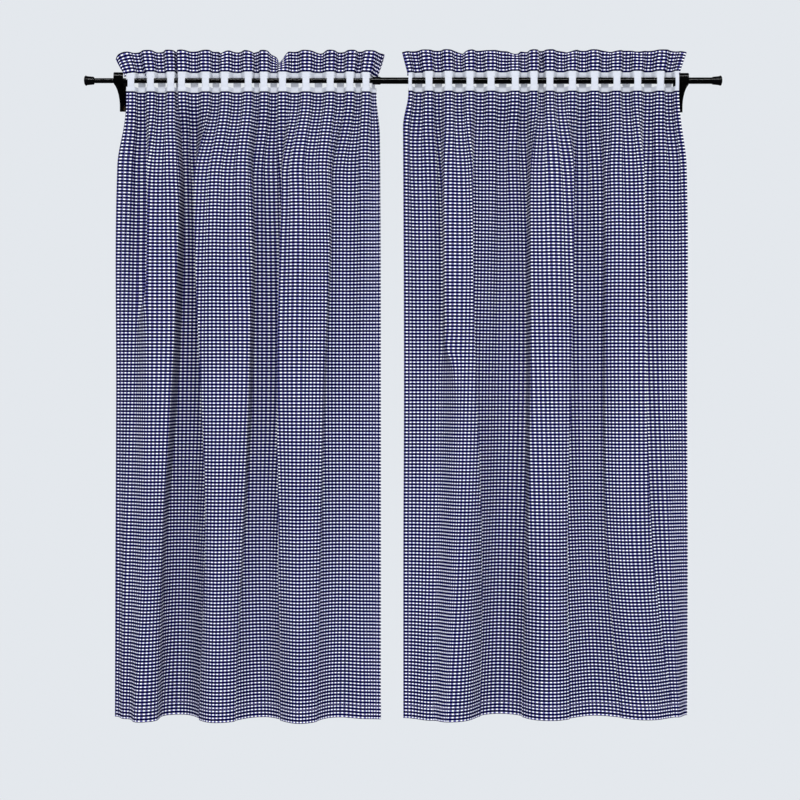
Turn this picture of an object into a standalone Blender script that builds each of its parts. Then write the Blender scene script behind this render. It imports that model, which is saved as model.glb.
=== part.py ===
"""Pair of gingham cafe curtain tiers hanging from a telescopic rod on two wall brackets.

Frame: the origin is at the back of the left bracket's wall plate, level with the rod's axis.
+X runs along the rod to the right, +Y into the wall, +Z up. Blender lengths are metres, and
the tables of sizes are millimetres, measured along the rod from the left bracket, forward of
the rod, and down from the top of the slots in the tape, where the cloth rests on the rod.
"""

import math
from typing import NamedTuple

import bmesh
import bpy
import numpy as np

MM = 0.001
FIT_GAP = 0.3

# Rod and what closes it
ROD_OUT = 58.0
BRACKET_SPACING = 966.3
ROD_LEFT_END = -59.4
ROD_RIGHT_END = 1032.4
INNER_TUBE_RADIUS = 4.25
OUTER_TUBE_RADIUS = 5.45
TUBE_WALL = 0.8
TUBE_OVERLAP = 150.0
COLLAR_START = 434.0
COLLAR_LENGTH = 14.2
COLLAR_RADIUS = 6.7
CAP_LENGTH = 16.8
CAP_SOCKET_DEPTH = 12.0
CAP_RIM_RADIUS = 8.6
CAP_MOUTH_RADIUS = 6.7
ROUND_STEPS = 20

# Wall bracket, measured forward from the wall and up from the seat under the tube
BRACKET_WIDTH = 16.5
PLATE_THICKNESS = 2.5
PLATE_TOP = 18.0
PLATE_BOTTOM = -38.7
CUP_INNER_RADIUS = 5.8
CUP_WALL = 2.0
CUP_STRAIGHT_TOP = 11.0
CUP_BACK_TOP = 5.0
ARM_TOP = 3.0
ARCH_FOOT = -30.0
ARC_STEPS = 7
SCREW_ABOVE_PLATE_FOOT = 5.8
SCREW_HEAD_RADIUS = 3.6
SCREW_HEAD_HEIGHT = 2.2
SCREW_SHANK_RADIUS = 1.9

# Cloth, flat
PANEL_FLAT_WIDTH = 660.4
BAR_WIDTH = 12.7
TAPE_WAVE = 50.8
DROP_THICKNESS = 1.0
HEADING_THICKNESS = 1.4
TAPE_THICKNESS = 1.0

# Heights, up or down from the top of the slots
REST_GAP = 0.35
HEADING_TOP = 46.6
STRIP_TOP = 9.6
SLOT_HEIGHT = 16.2
TAPE_BOTTOM = 23.9
HEM_BOTTOM = 1098.0

# How far the bars stand before and behind the rod's axis
BAR_OFFSET = 6.9
BACK_BAR_SHARE = 0.58
LAST_BAR_FROM_END = (7.3, 2.4)
HEADING_WAVE = 7.4
PLEAT_REACH = 10.0
PLEAT_HALF_WIDTH = 9.0
PLEAT_LEFT_AT_TOP = 0.4
FLARE_REACH = 55.0
FLARE_POWER = 1.3
CORNER_REACH = 20.0
NOTCH_POWER = 1.5
NOTCH_LEAN = 0.6

# Depths below the slots at which the fold tables are read
LEVELS = (24.0, 204.0, 547.0, 803.0, 1098.0)
RIPPLE_AT_LEVELS = (6.5, 3.6, 2.0, 1.6, 1.2)
RELEASE_START = 30.0
LEAST_SLOPE_SHARE = 0.12
FOLD_ROUNDING = 0.3
FLAT_SAMPLES = 1321
DROP_TOP = TAPE_BOTTOM + FIT_GAP
DROP_ROWS = (DROP_TOP, 42.0, 66.0, 96.0, 140.0, 215.0, 370.0, 550.0, 740.0, 930.0, HEM_BOTTOM)
HEADING_BOTTOM = STRIP_TOP + FIT_GAP
HEADING_ROWS = (HEADING_TOP, 34.0, 21.0, HEADING_BOTTOM)


class Fold(NamedTuple):
    """A crest or valley line: its place on the flat cloth, along the rod and before it."""

    flat: float
    along: tuple
    forward: tuple


class Notch(NamedTuple):
    """A place where the ruffle has folded back on itself."""

    flat: float
    half_width: float
    drop: float


class Panel(NamedTuple):
    """One curtain panel as it hangs."""

    side: str
    tube_radius: float
    tape_ends: tuple
    first_front_flat: float
    front_bars: tuple
    folds: tuple
    release_ends: tuple
    flare: tuple
    corner_drop: tuple
    pleat_flat: float
    notch: Notch
    last_back_bar: float


LEFT_FOLDS = (
    Fold(0.0, (11.0, -6.0, -7.0, -7.0, -6.0), (0.0, -8.0, -14.0, -18.0, -24.0)),
    Fold(76.0, (66.0, 62.0, 53.0, 50.0, 36.0), (5.0, 13.0, 19.0, 24.0, 30.0)),
    Fold(160.0, (104.0, 104.0, 109.0, 104.0, 98.0), (-12.0, -25.0, -32.0, -38.0, -42.0)),
    Fold(270.0, (182.0, 176.0, 180.0, 176.0, 171.0), (5.0, 13.0, 19.0, 24.0, 30.0)),
    Fold(358.0, (243.0, 245.0, 245.0, 237.0, 245.0), (-8.0, -14.0, -17.0, -18.0, -21.0)),
    Fold(462.0, (312.0, 315.0, 315.0, 315.0, 313.0), (8.0, 16.0, 24.0, 34.0, 44.0)),
    Fold(554.0, (377.0, 373.0, 371.0, 375.0, 375.0), (-8.0, -12.0, -15.0, -17.0, -20.0)),
    Fold(612.0, (419.0, 416.0, 413.0, 409.0, 420.0), (4.0, 4.0, 1.0, -2.0, 12.0)),
    Fold(660.4, (440.0, 448.0, 448.0, 448.0, 448.0), (0.0, 0.0, 0.0, 0.0, 0.0)),
)

RIGHT_FOLDS = (
    Fold(0.0, (497.0, 485.0, 485.0, 485.0, 485.0), (-4.0, -4.0, -4.0, -4.0, -4.0)),
    Fold(108.0, (567.0, 567.0, 575.0, 577.0, 565.0), (6.0, 17.0, 21.0, 29.0, 36.0)),
    Fold(227.0, (655.0, 656.0, 657.0, 659.0, 656.0), (-12.0, -21.0, -29.0, -38.0, -46.0)),
    Fold(343.0, (730.0, 734.0, 735.0, 735.0, 733.0), (8.0, 15.0, 17.0, 21.0, 23.0)),
    Fold(442.0, (806.0, 806.0, 806.0, 806.0, 820.0), (-10.0, -15.0, -17.0, -19.0, -23.0)),
    Fold(535.0, (868.0, 871.0, 875.0, 877.0, 892.0), (8.0, 13.0, 15.0, 17.0, 19.0)),
    Fold(660.4, (959.0, 974.0, 974.0, 974.0, 972.0), (-4.0, -13.0, -17.0, -21.0, -29.0)),
)

PANELS = (
    Panel(
        side="left",
        tube_radius=INNER_TUBE_RADIUS,
        tape_ends=(9.5, 440.5),
        first_front_flat=12.7,
        front_bars=(
            *(21.5, 55.0, 89.5, 108.0, 149.0, 181.5, 222.0),
            *(248.5, 280.5, 320.5, 362.0, 395.5, 423.0),
        ),
        folds=LEFT_FOLDS,
        release_ends=(185.0, 85.0),
        flare=(17.0, 14.0),
        corner_drop=(10.0, 6.0),
        pleat_flat=139.7,
        notch=Notch(412.0, 16.0, 19.0),
        last_back_bar=-8.2,
    ),
    Panel(
        side="right",
        tube_radius=OUTER_TUBE_RADIUS,
        tape_ends=(495.5, 957.5),
        first_front_flat=0.0,
        front_bars=(
            *(495.5, 530.5, 564.0, 600.5, 636.5, 678.0, 710.0),
            *(737.0, 775.5, 813.5, 851.5, 887.0, 926.0, 957.5),
        ),
        folds=RIGHT_FOLDS,
        release_ends=(95.0, 165.0),
        flare=(11.0, 13.0),
        corner_drop=(4.0, 4.0),
        pleat_flat=330.2,
        notch=Notch(203.2, 12.0, 3.0),
        last_back_bar=-BAR_OFFSET,
    ),
)


def clear_scene():
    """Remove every object of the file that the script starts in."""
    for obj in list(bpy.data.objects):
        bpy.data.objects.remove(obj, do_unlink=True)


def new_collection(name):
    """Make a collection under the scene."""
    collection = bpy.data.collections.new(name)
    bpy.context.scene.collection.children.link(collection)
    return collection


def new_material(name, colour, roughness, metallic=0.0):
    """Make a plain material with one shader."""
    material = bpy.data.materials.new(name)
    material.use_nodes = True
    shader = material.node_tree.nodes["Principled BSDF"]
    shader.inputs["Base Color"].default_value = (*colour, 1.0)
    shader.inputs["Roughness"].default_value = roughness
    shader.inputs["Metallic"].default_value = metallic
    return material


def new_empty(collection, name, place):
    """Make an empty that carries other objects."""
    empty = bpy.data.objects.new(name, None)
    empty.location = place
    collection.objects.link(empty)
    return empty


def add_object(collection, name, data, material, parent=None):
    """Link a mesh or curve as a named object under its parent."""
    obj = bpy.data.objects.new(name, data)
    data.materials.append(material)
    collection.objects.link(obj)
    obj.parent = parent
    return obj


def rounded_step(share):
    """Go from 0 to 1 with level ends and a straight middle, as cloth does between two folds."""
    ramp = FOLD_ROUNDING
    share = np.clip(share, 0.0, 1.0)
    rising = share**2 / (2.0 * ramp)
    straight = share - ramp / 2.0
    falling = (1.0 - ramp) - (1.0 - share) ** 2 / (2.0 * ramp)
    both = np.where(share < ramp, rising, np.where(share > 1.0 - ramp, falling, straight))
    return both / (1.0 - ramp)


def smooth_step(share):
    """Go from 0 to 1 with level ends."""
    share = np.clip(share, 0.0, 1.0)
    return share * share * (3.0 - 2.0 * share)


def read_levels(values, below):
    """Read a table's values, given at LEVELS, at any depth, as a smooth curve."""
    levels = np.array(LEVELS)
    values = np.array(values)
    slopes = np.gradient(values, levels)
    index = int(np.clip(np.searchsorted(levels, below) - 1, 0, len(levels) - 2))
    length = levels[index + 1] - levels[index]
    t = min(max((below - levels[index]) / length, 0.0), 1.0)
    start = (2 * t**3 - 3 * t**2 + 1) * values[index] + (t**3 - 2 * t**2 + t) * length * slopes[index]
    end = (3 * t**2 - 2 * t**3) * values[index + 1] + (t**3 - t**2) * length * slopes[index + 1]
    return start + end


def tape_section(panel):
    """Give the bent tape seen from above, as flat places, places along the rod and forward ones."""
    half = BAR_WIDTH / 2.0
    points = []
    for index, centre in enumerate(panel.front_bars):
        flat = panel.first_front_flat + TAPE_WAVE * index
        points.append((flat - half, centre - half, BAR_OFFSET))
        points.append((flat + half, centre + half, BAR_OFFSET))
        if index + 1 < len(panel.front_bars):
            gap_start = centre + half
            gap = panel.front_bars[index + 1] - half - gap_start
            back_half = min(half, BACK_BAR_SHARE * gap / 2.0)
            middle = gap_start + gap / 2.0
            back_flat = flat + TAPE_WAVE / 2.0
            deeper = PLEAT_REACH - BAR_OFFSET if abs(back_flat - panel.pleat_flat) < half else 0.0
            points.append((back_flat - half, middle - back_half, -BAR_OFFSET - deeper))
            points.append((back_flat + half, middle + back_half, -BAR_OFFSET - deeper))
    start, end = panel.tape_ends
    last_flat = points[-1][0]
    if points[0][0] > 0.0:
        points.insert(0, (0.0, start, BAR_OFFSET))
    if last_flat < PANEL_FLAT_WIDTH - BAR_WIDTH:
        for step, from_end in enumerate(LAST_BAR_FROM_END, start=1):
            points.append((last_flat + step * BAR_WIDTH, end - from_end, panel.last_back_bar))
        points.append((PANEL_FLAT_WIDTH, end, panel.last_back_bar))
    flats, alongs, forwards = (np.array(column) for column in zip(*points))
    return flats, alongs, forwards


def bump(flat, centre, half_width):
    """Give a soft bump of height 1 round a place."""
    return np.exp(-(((flat - centre) / half_width) ** 2))


def ripple(panel, flat):
    """Give the small wave that the woven tape sends down and up the cloth, from -1 to 1."""
    return np.cos(2.0 * math.pi * (flat - panel.first_front_flat) / TAPE_WAVE)


def drop_section(panel, below, flat):
    """Give the places along the rod and forward of it of a level line across the drop."""
    samples = np.linspace(0.0, PANEL_FLAT_WIDTH, FLAT_SAMPLES)
    turn_flats = [fold.flat for fold in panel.folds]
    turn_alongs = [read_levels(fold.along, below) for fold in panel.folds]
    turn_forwards = [read_levels(fold.forward, below) for fold in panel.folds]
    forward = np.zeros_like(samples)
    for index in range(len(turn_flats) - 1):
        start, end = turn_flats[index], turn_flats[index + 1]
        inside = (samples >= start) & (samples <= end)
        share = rounded_step((samples[inside] - start) / (end - start))
        forward[inside] = turn_forwards[index] + (turn_forwards[index + 1] - turn_forwards[index]) * share
    forward += read_levels(RIPPLE_AT_LEVELS, below) * ripple(panel, samples)
    slope = np.gradient(forward, samples)
    speed = np.sqrt(np.maximum(1.0 - slope**2, LEAST_SLOPE_SHARE))
    travelled = np.concatenate(([0.0], np.cumsum((speed[1:] + speed[:-1]) / 2.0)))
    at_turns = np.interp(turn_flats, samples, travelled)
    along = np.interp(travelled, at_turns, turn_alongs)

    tape_flats, tape_alongs, tape_forwards = tape_section(panel)
    release_end = np.interp(flat, (0.0, PANEL_FLAT_WIDTH), panel.release_ends)
    release = smooth_step((below - RELEASE_START) / (release_end - RELEASE_START))
    mixed_along = (1.0 - release) * np.interp(flat, tape_flats, tape_alongs)
    mixed_along += release * np.interp(flat, samples, along)
    mixed_forward = (1.0 - release) * np.interp(flat, tape_flats, tape_forwards)
    mixed_forward += release * np.interp(flat, samples, forward)
    return mixed_along, mixed_forward


def drop_point(panel, flat, below):
    """Place a point of the drop, in millimetres along, forward and up from the slots' top."""
    along, forward = drop_section(panel, below, flat)
    return along, forward, np.full_like(flat, -below)


def tape_point(panel, flat, below):
    """Place a point of the ladder tape."""
    flats, alongs, forwards = tape_section(panel)
    return np.interp(flat, flats, alongs), np.interp(flat, flats, forwards), np.full_like(flat, -below)


def heading_point(panel, flat, above):
    """Place a point of the ruffle above the tape."""
    rise = (above - STRIP_TOP) / (HEADING_TOP - STRIP_TOP)
    along, forward, _ = tape_point(panel, flat, 0.0)
    from_right = PANEL_FLAT_WIDTH - flat
    spread = rise**FLARE_POWER
    along = along - panel.flare[0] * np.exp(-flat / FLARE_REACH) * spread
    along = along + panel.flare[1] * np.exp(-from_right / FLARE_REACH) * spread
    loose = smooth_step(rise)
    pleat = PLEAT_LEFT_AT_TOP * PLEAT_REACH * bump(flat, panel.pleat_flat, PLEAT_HALF_WIDTH)
    forward = (1.0 - loose) * forward + loose * (HEADING_WAVE * ripple(panel, flat) - pleat)
    notch = panel.notch.drop * bump(flat, panel.notch.flat, panel.notch.half_width) * rise**NOTCH_POWER
    forward = forward - NOTCH_LEAN * notch
    corner = panel.corner_drop[0] * np.exp(-flat / CORNER_REACH)
    corner = corner + panel.corner_drop[1] * np.exp(-from_right / CORNER_REACH)
    return along, forward, above - rise**2 * corner - notch


def bar_columns(panel):
    """Give the flat places of the edges of the tape's bars, with the panel's side edges."""
    count = int(PANEL_FLAT_WIDTH / BAR_WIDTH)
    return [0.0, *(BAR_WIDTH / 2.0 + BAR_WIDTH * index for index in range(count)), PANEL_FLAT_WIDTH]


def halved(columns):
    """Put one more column in the middle of each pair."""
    middles = [(a + b) / 2.0 for a, b in zip(columns, columns[1:])]
    return sorted([*columns, *middles])


def is_slot(panel, column):
    """Tell whether a column between two bar edges is a slot and not a bar."""
    first_is_slot = panel.first_front_flat > 0.0
    return (column % 2 == 0) == first_is_slot


def hung_sheet(name, panel, columns, rows, place, cut=None):
    """Bend a flat grid into a hanging sheet: its columns are flat places, its rows heights."""
    bm = bmesh.new()
    across, down = len(columns) - 1, len(rows) - 1
    bmesh.ops.create_grid(bm, x_segments=across, y_segments=down, size=0.5)
    if cut is not None:
        gone = [
            face
            for face in bm.faces
            if cut(
                int((face.calc_center_median().x + 0.5) * across),
                int((0.5 - face.calc_center_median().y) * down),
            )
        ]
        bmesh.ops.delete(bm, geom=gone, context="FACES")
    lines = [place(panel, np.array(columns), row) for row in rows]
    for vert in bm.verts:
        column = round((vert.co.x + 0.5) * across)
        row = round((0.5 - vert.co.y) * down)
        along, forward, up = (axis[column] for axis in lines[row])
        vert.co = (along * MM, -forward * MM, up * MM)
    mesh = bpy.data.meshes.new(name)
    bm.to_mesh(mesh)
    bm.free()
    return mesh


def add_thickness(obj, thickness):
    """Turn a sheet into cloth of an even thickness."""
    solidify = obj.modifiers.new("thickness", "SOLIDIFY")
    solidify.thickness = thickness * MM
    solidify.offset = 0.0
    solidify.use_even_offset = True


def add_panel(collection, panel, cloth, tape_cloth):
    """Build the drop, ladder tape and heading of one panel."""
    slot_top = (panel.tube_radius + REST_GAP) * MM
    carrier = new_empty(collection, f"panel_{panel.side}", (0.0, -ROD_OUT * MM, slot_top))
    columns = bar_columns(panel)

    drop_mesh = hung_sheet(f"drop_{panel.side}", panel, halved(columns), DROP_ROWS, drop_point)
    drop = add_object(collection, f"drop_{panel.side}", drop_mesh, cloth, carrier)
    add_thickness(drop, DROP_THICKNESS)

    tape_rows = (-STRIP_TOP, 0.0, SLOT_HEIGHT, TAPE_BOTTOM)
    tape_mesh = hung_sheet(
        f"tape_{panel.side}",
        panel,
        columns,
        tape_rows,
        tape_point,
        cut=lambda column, row: row == 1 and is_slot(panel, column),
    )
    tape = add_object(collection, f"tape_{panel.side}", tape_mesh, tape_cloth, carrier)
    add_thickness(tape, TAPE_THICKNESS)

    heading_mesh = hung_sheet(f"heading_{panel.side}", panel, columns, HEADING_ROWS, heading_point)
    heading = add_object(collection, f"heading_{panel.side}", heading_mesh, cloth, carrier)
    add_thickness(heading, HEADING_THICKNESS)


def profile_mesh(name, points, closed):
    """Make an outline of radius and height pairs, ready to be turned."""
    mesh = bpy.data.meshes.new(name)
    verts = [(radius * MM, 0.0, height * MM) for radius, height in points]
    edges = [(index, index + 1) for index in range(len(points) - 1)]
    if closed:
        edges.append((len(points) - 1, 0))
    mesh.from_pydata(verts, edges, [])
    return mesh


def add_turned(collection, name, points, material, closed=False, steps=ROUND_STEPS):
    """Turn an outline round its local Z."""
    obj = add_object(collection, name, profile_mesh(name, points, closed), material)
    screw = obj.modifiers.new("turn", "SCREW")
    screw.steps = steps
    screw.render_steps = steps
    screw.use_merge_vertices = True
    screw.merge_threshold = 0.00001
    screw.use_smooth_shade = True
    return obj


def lay_along_rod(obj, start, points_right):
    """Lay a turned piece on the rod's axis from a place along it."""
    obj.location = (start * MM, -ROD_OUT * MM, 0.0)
    obj.rotation_euler = (0.0, math.pi / 2.0 if points_right else -math.pi / 2.0, 0.0)


def add_rod(collection, black):
    """Build the two tubes and their end caps."""
    inner_end = COLLAR_START + TUBE_OVERLAP
    tube_left = ROD_LEFT_END + CAP_LENGTH - CAP_SOCKET_DEPTH + FIT_GAP
    tube_right = ROD_RIGHT_END - CAP_LENGTH + CAP_SOCKET_DEPTH - FIT_GAP

    length = inner_end - tube_left
    bore = INNER_TUBE_RADIUS - TUBE_WALL
    ring = ((INNER_TUBE_RADIUS, length), (INNER_TUBE_RADIUS, 0.0), (bore, 0.0), (bore, length))
    inner = add_turned(collection, "rod_inner_tube", ring, black, closed=True)
    lay_along_rod(inner, tube_left, True)

    length = tube_right - COLLAR_START
    bore = OUTER_TUBE_RADIUS - TUBE_WALL
    ring = (
        (OUTER_TUBE_RADIUS, length),
        (OUTER_TUBE_RADIUS, COLLAR_LENGTH),
        (COLLAR_RADIUS, COLLAR_LENGTH - 0.6),
        (COLLAR_RADIUS, 0.4),
        (COLLAR_RADIUS - 0.4, 0.0),
        (bore, 0.0),
        (bore, length),
    )
    outer = add_turned(collection, "rod_outer_tube", ring, black, closed=True)
    lay_along_rod(outer, COLLAR_START, True)

    for side, tube_radius, start, points_right in (
        ("left", INNER_TUBE_RADIUS, ROD_LEFT_END + CAP_LENGTH, False),
        ("right", OUTER_TUBE_RADIUS, ROD_RIGHT_END - CAP_LENGTH, True),
    ):
        socket = tube_radius + FIT_GAP
        outline = (
            (0.0, CAP_LENGTH),
            (5.4, CAP_LENGTH - 0.5),
            (7.7, CAP_LENGTH - 1.6),
            (CAP_RIM_RADIUS, CAP_LENGTH - 3.0),
            (CAP_RIM_RADIUS - 0.2, CAP_LENGTH - 3.8),
            (7.5, CAP_LENGTH - 5.6),
            (7.1, 7.0),
            (CAP_MOUTH_RADIUS, 1.0),
            (CAP_MOUTH_RADIUS - 0.7, 0.0),
            (socket, 0.0),
            (socket, CAP_SOCKET_DEPTH),
            (0.0, CAP_SOCKET_DEPTH),
        )
        cap = add_turned(collection, f"end_cap_{side}", outline, black)
        lay_along_rod(cap, start, points_right)


def arc(centre, radii, start, end):
    """Give points of an elliptical arc between two angles in degrees, both ends included."""
    angles = np.radians(np.linspace(start, end, ARC_STEPS + 1))
    return [(centre[0] + radii[0] * math.cos(a), centre[1] + radii[1] * math.sin(a)) for a in angles]


def bracket_outline():
    """Give the bracket's side view: forward from the wall, and up from the seat of the tube."""
    outer_radius = CUP_INNER_RADIUS + CUP_WALL
    low = (ROD_OUT, CUP_INNER_RADIUS)
    high = (ROD_OUT, CUP_STRAIGHT_TOP)
    arch = (ROD_OUT, ARCH_FOOT)
    arch_radii = (ROD_OUT - PLATE_THICKNESS, -CUP_WALL - ARCH_FOOT)
    points = [(0.0, PLATE_BOTTOM), (PLATE_THICKNESS, PLATE_BOTTOM)]
    points += arc(arch, arch_radii, 180.0, 90.0)
    points += arc(low, (outer_radius, outer_radius), -90.0, 0.0)[1:]
    points += arc(high, (outer_radius, outer_radius), 0.0, 90.0)
    points += arc(high, (CUP_INNER_RADIUS, CUP_INNER_RADIUS), 90.0, 0.0)
    points += arc(low, (CUP_INNER_RADIUS, CUP_INNER_RADIUS), 0.0, -180.0)[:-1]
    points += [
        (ROD_OUT - CUP_INNER_RADIUS, CUP_BACK_TOP),
        (ROD_OUT - outer_radius, CUP_BACK_TOP),
        (ROD_OUT - outer_radius - 2.0, ARM_TOP),
        (PLATE_THICKNESS, ARM_TOP),
        (PLATE_THICKNESS, PLATE_TOP),
        (0.0, PLATE_TOP),
    ]
    return points


def curve_to_mesh(curve_object, name):
    """Make a closed mesh of a filled curve."""
    graph = bpy.context.evaluated_depsgraph_get()
    mesh = bpy.data.meshes.new_from_object(curve_object.evaluated_get(graph))
    mesh.name = name
    bm = bmesh.new()
    bm.from_mesh(mesh)
    bmesh.ops.remove_doubles(bm, verts=bm.verts, dist=0.00001)
    bm.to_mesh(mesh)
    bm.free()
    return mesh


def add_bracket(collection, cutters, side, along, tube_radius, black, brass):
    """Build one wall bracket with the hole for its screw, and the screw in it."""
    seat = -tube_radius - FIT_GAP
    curve = bpy.data.curves.new(f"bracket_outline_{side}", "CURVE")
    curve.dimensions = "2D"
    curve.fill_mode = "BOTH"
    curve.extrude = BRACKET_WIDTH / 2.0 * MM
    outline = bracket_outline()
    spline = curve.splines.new("POLY")
    spline.points.add(len(outline) - 1)
    for point, (forward, up) in zip(spline.points, outline):
        point.co = (forward * MM, up * MM, 0.0, 1.0)
    spline.use_cyclic_u = True
    guide = bpy.data.objects.new(f"bracket_outline_{side}", curve)
    collection.objects.link(guide)
    mesh = curve_to_mesh(guide, f"bracket_{side}")
    bpy.data.objects.remove(guide, do_unlink=True)

    bracket = add_object(collection, f"bracket_{side}", mesh, black)
    bracket.location = (along * MM, 0.0, seat * MM)
    bracket.rotation_euler = (math.pi / 2.0, 0.0, -math.pi / 2.0)

    screw_height = seat + PLATE_BOTTOM + SCREW_ABOVE_PLATE_FOOT
    bm = bmesh.new()
    hole = SCREW_SHANK_RADIUS + FIT_GAP
    bmesh.ops.create_cone(
        bm, cap_ends=True, segments=ROUND_STEPS, radius1=hole * MM, radius2=hole * MM, depth=20.0 * MM
    )
    cutter_mesh = bpy.data.meshes.new(f"screw_hole_{side}")
    bm.to_mesh(cutter_mesh)
    bm.free()
    cutter = bpy.data.objects.new(f"screw_hole_{side}", cutter_mesh)
    cutter.location = (along * MM, 0.0, screw_height * MM)
    cutter.rotation_euler = (math.pi / 2.0, 0.0, 0.0)
    cutter.hide_render = True
    cutter.display_type = "WIRE"
    cutters.objects.link(cutter)
    cut = bracket.modifiers.new("screw_hole", "BOOLEAN")
    cut.operation = "DIFFERENCE"
    cut.solver = "EXACT"
    cut.object = cutter

    head_base = PLATE_THICKNESS + FIT_GAP
    outline = (
        (0.0, head_base + SCREW_HEAD_HEIGHT),
        (SCREW_HEAD_RADIUS * 0.6, head_base + SCREW_HEAD_HEIGHT - 0.2),
        (SCREW_HEAD_RADIUS, head_base + 0.8),
        (SCREW_HEAD_RADIUS, head_base),
        (SCREW_SHANK_RADIUS, head_base),
        (SCREW_SHANK_RADIUS, FIT_GAP),
        (0.0, FIT_GAP),
    )
    screw = add_turned(collection, f"wall_screw_{side}", outline, brass)
    screw.location = (along * MM, 0.0, screw_height * MM)
    screw.rotation_euler = (math.pi / 2.0, 0.0, 0.0)


def main():
    """Build the curtain pair and the rod that holds it."""
    clear_scene()
    part = new_collection("cafe_curtain")
    cutters = new_collection("cutters")
    gingham = new_material("gingham cotton", (0.24, 0.22, 0.50), 0.9)
    tape_cloth = new_material("white woven tape", (0.86, 0.87, 0.88), 0.85)
    black = new_material("black enamel", (0.012, 0.012, 0.013), 0.3)
    brass = new_material("brass plate", (0.62, 0.46, 0.22), 0.3, 1.0)
    for panel in PANELS:
        add_panel(part, panel, gingham, tape_cloth)
    add_rod(part, black)
    add_bracket(part, cutters, "left", 0.0, INNER_TUBE_RADIUS, black, brass)
    add_bracket(part, cutters, "right", BRACKET_SPACING, OUTER_TUBE_RADIUS, black, brass)


main()
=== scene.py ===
"""Pair of gingham cafe curtain tiers on a telescopic rod, dressed round its solid model.

Frame: X runs along the rod from the left bracket, Y backward and Z up, in metres. Sizes in the
tables are millimetres, measured along the rod, forward of the rod's axis, and down from the top of
the slots in the tape, where the cloth rests on the rod.
"""

import logging
import math
from dataclasses import dataclass, field
from enum import Enum
from typing import Callable

import bmesh
import bpy
import numpy as np
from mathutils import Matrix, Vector


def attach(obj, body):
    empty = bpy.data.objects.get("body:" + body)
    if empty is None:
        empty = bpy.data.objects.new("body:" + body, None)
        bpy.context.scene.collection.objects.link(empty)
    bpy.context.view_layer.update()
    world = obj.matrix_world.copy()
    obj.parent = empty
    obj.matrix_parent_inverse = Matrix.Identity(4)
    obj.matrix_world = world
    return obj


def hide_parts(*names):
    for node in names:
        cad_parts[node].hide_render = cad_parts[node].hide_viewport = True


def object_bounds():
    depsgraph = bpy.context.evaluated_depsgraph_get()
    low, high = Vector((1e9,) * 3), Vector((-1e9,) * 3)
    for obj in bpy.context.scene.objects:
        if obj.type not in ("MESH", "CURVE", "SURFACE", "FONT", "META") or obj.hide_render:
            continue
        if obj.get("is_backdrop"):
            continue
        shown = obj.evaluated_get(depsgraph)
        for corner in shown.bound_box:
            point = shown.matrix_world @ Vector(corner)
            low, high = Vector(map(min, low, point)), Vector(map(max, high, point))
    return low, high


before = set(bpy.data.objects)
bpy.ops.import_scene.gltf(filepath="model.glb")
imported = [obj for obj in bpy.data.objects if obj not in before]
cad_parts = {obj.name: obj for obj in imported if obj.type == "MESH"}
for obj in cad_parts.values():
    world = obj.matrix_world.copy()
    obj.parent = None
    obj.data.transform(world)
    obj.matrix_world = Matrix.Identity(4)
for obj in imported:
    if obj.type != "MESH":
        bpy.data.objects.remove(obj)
CAD_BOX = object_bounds()

LOG = logging.getLogger("cafe_curtain")
MM = 0.001
BODY = "root"
CUT_MAP = "cut_cloth"
BAKE_MAP = "OFBake"

ROD_OUT = 58.0
BRACKET_SPACING = 966.3
PANEL_WIDTH = 660.4
BAR_WIDTH = 12.7
TAPE_WAVE = 50.8
BAR_OFFSET = 6.9
REST_GAP = 0.35
HEADING_TOP = 46.6
STRIP_TOP = 9.6
SLOT_HEIGHT = 16.2
TAPE_BOTTOM = 23.9
HEM_BOTTOM = 1098.0
LEVELS = (24.0, 204.0, 547.0, 803.0, 1098.0)
FINE_DOWN_TO = 150.0
ALWAYS_SOFT = -200.0
NEVER_SOFT = 2000.0
LEAST_RISE = 0.1
LEAST_ROOM = 0.5
LEAST_SPREAD = 0.005

Array = np.ndarray


class Slot(Enum):
    """Material slots of the record."""

    GINGHAM = "gingham"
    TAPE = "tape"
    ROD = "rod"
    CAP = "cap"
    SCREW = "screw"


class Side(Enum):
    """The two ends of the rod."""

    LEFT = "left"
    RIGHT = "right"


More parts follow.
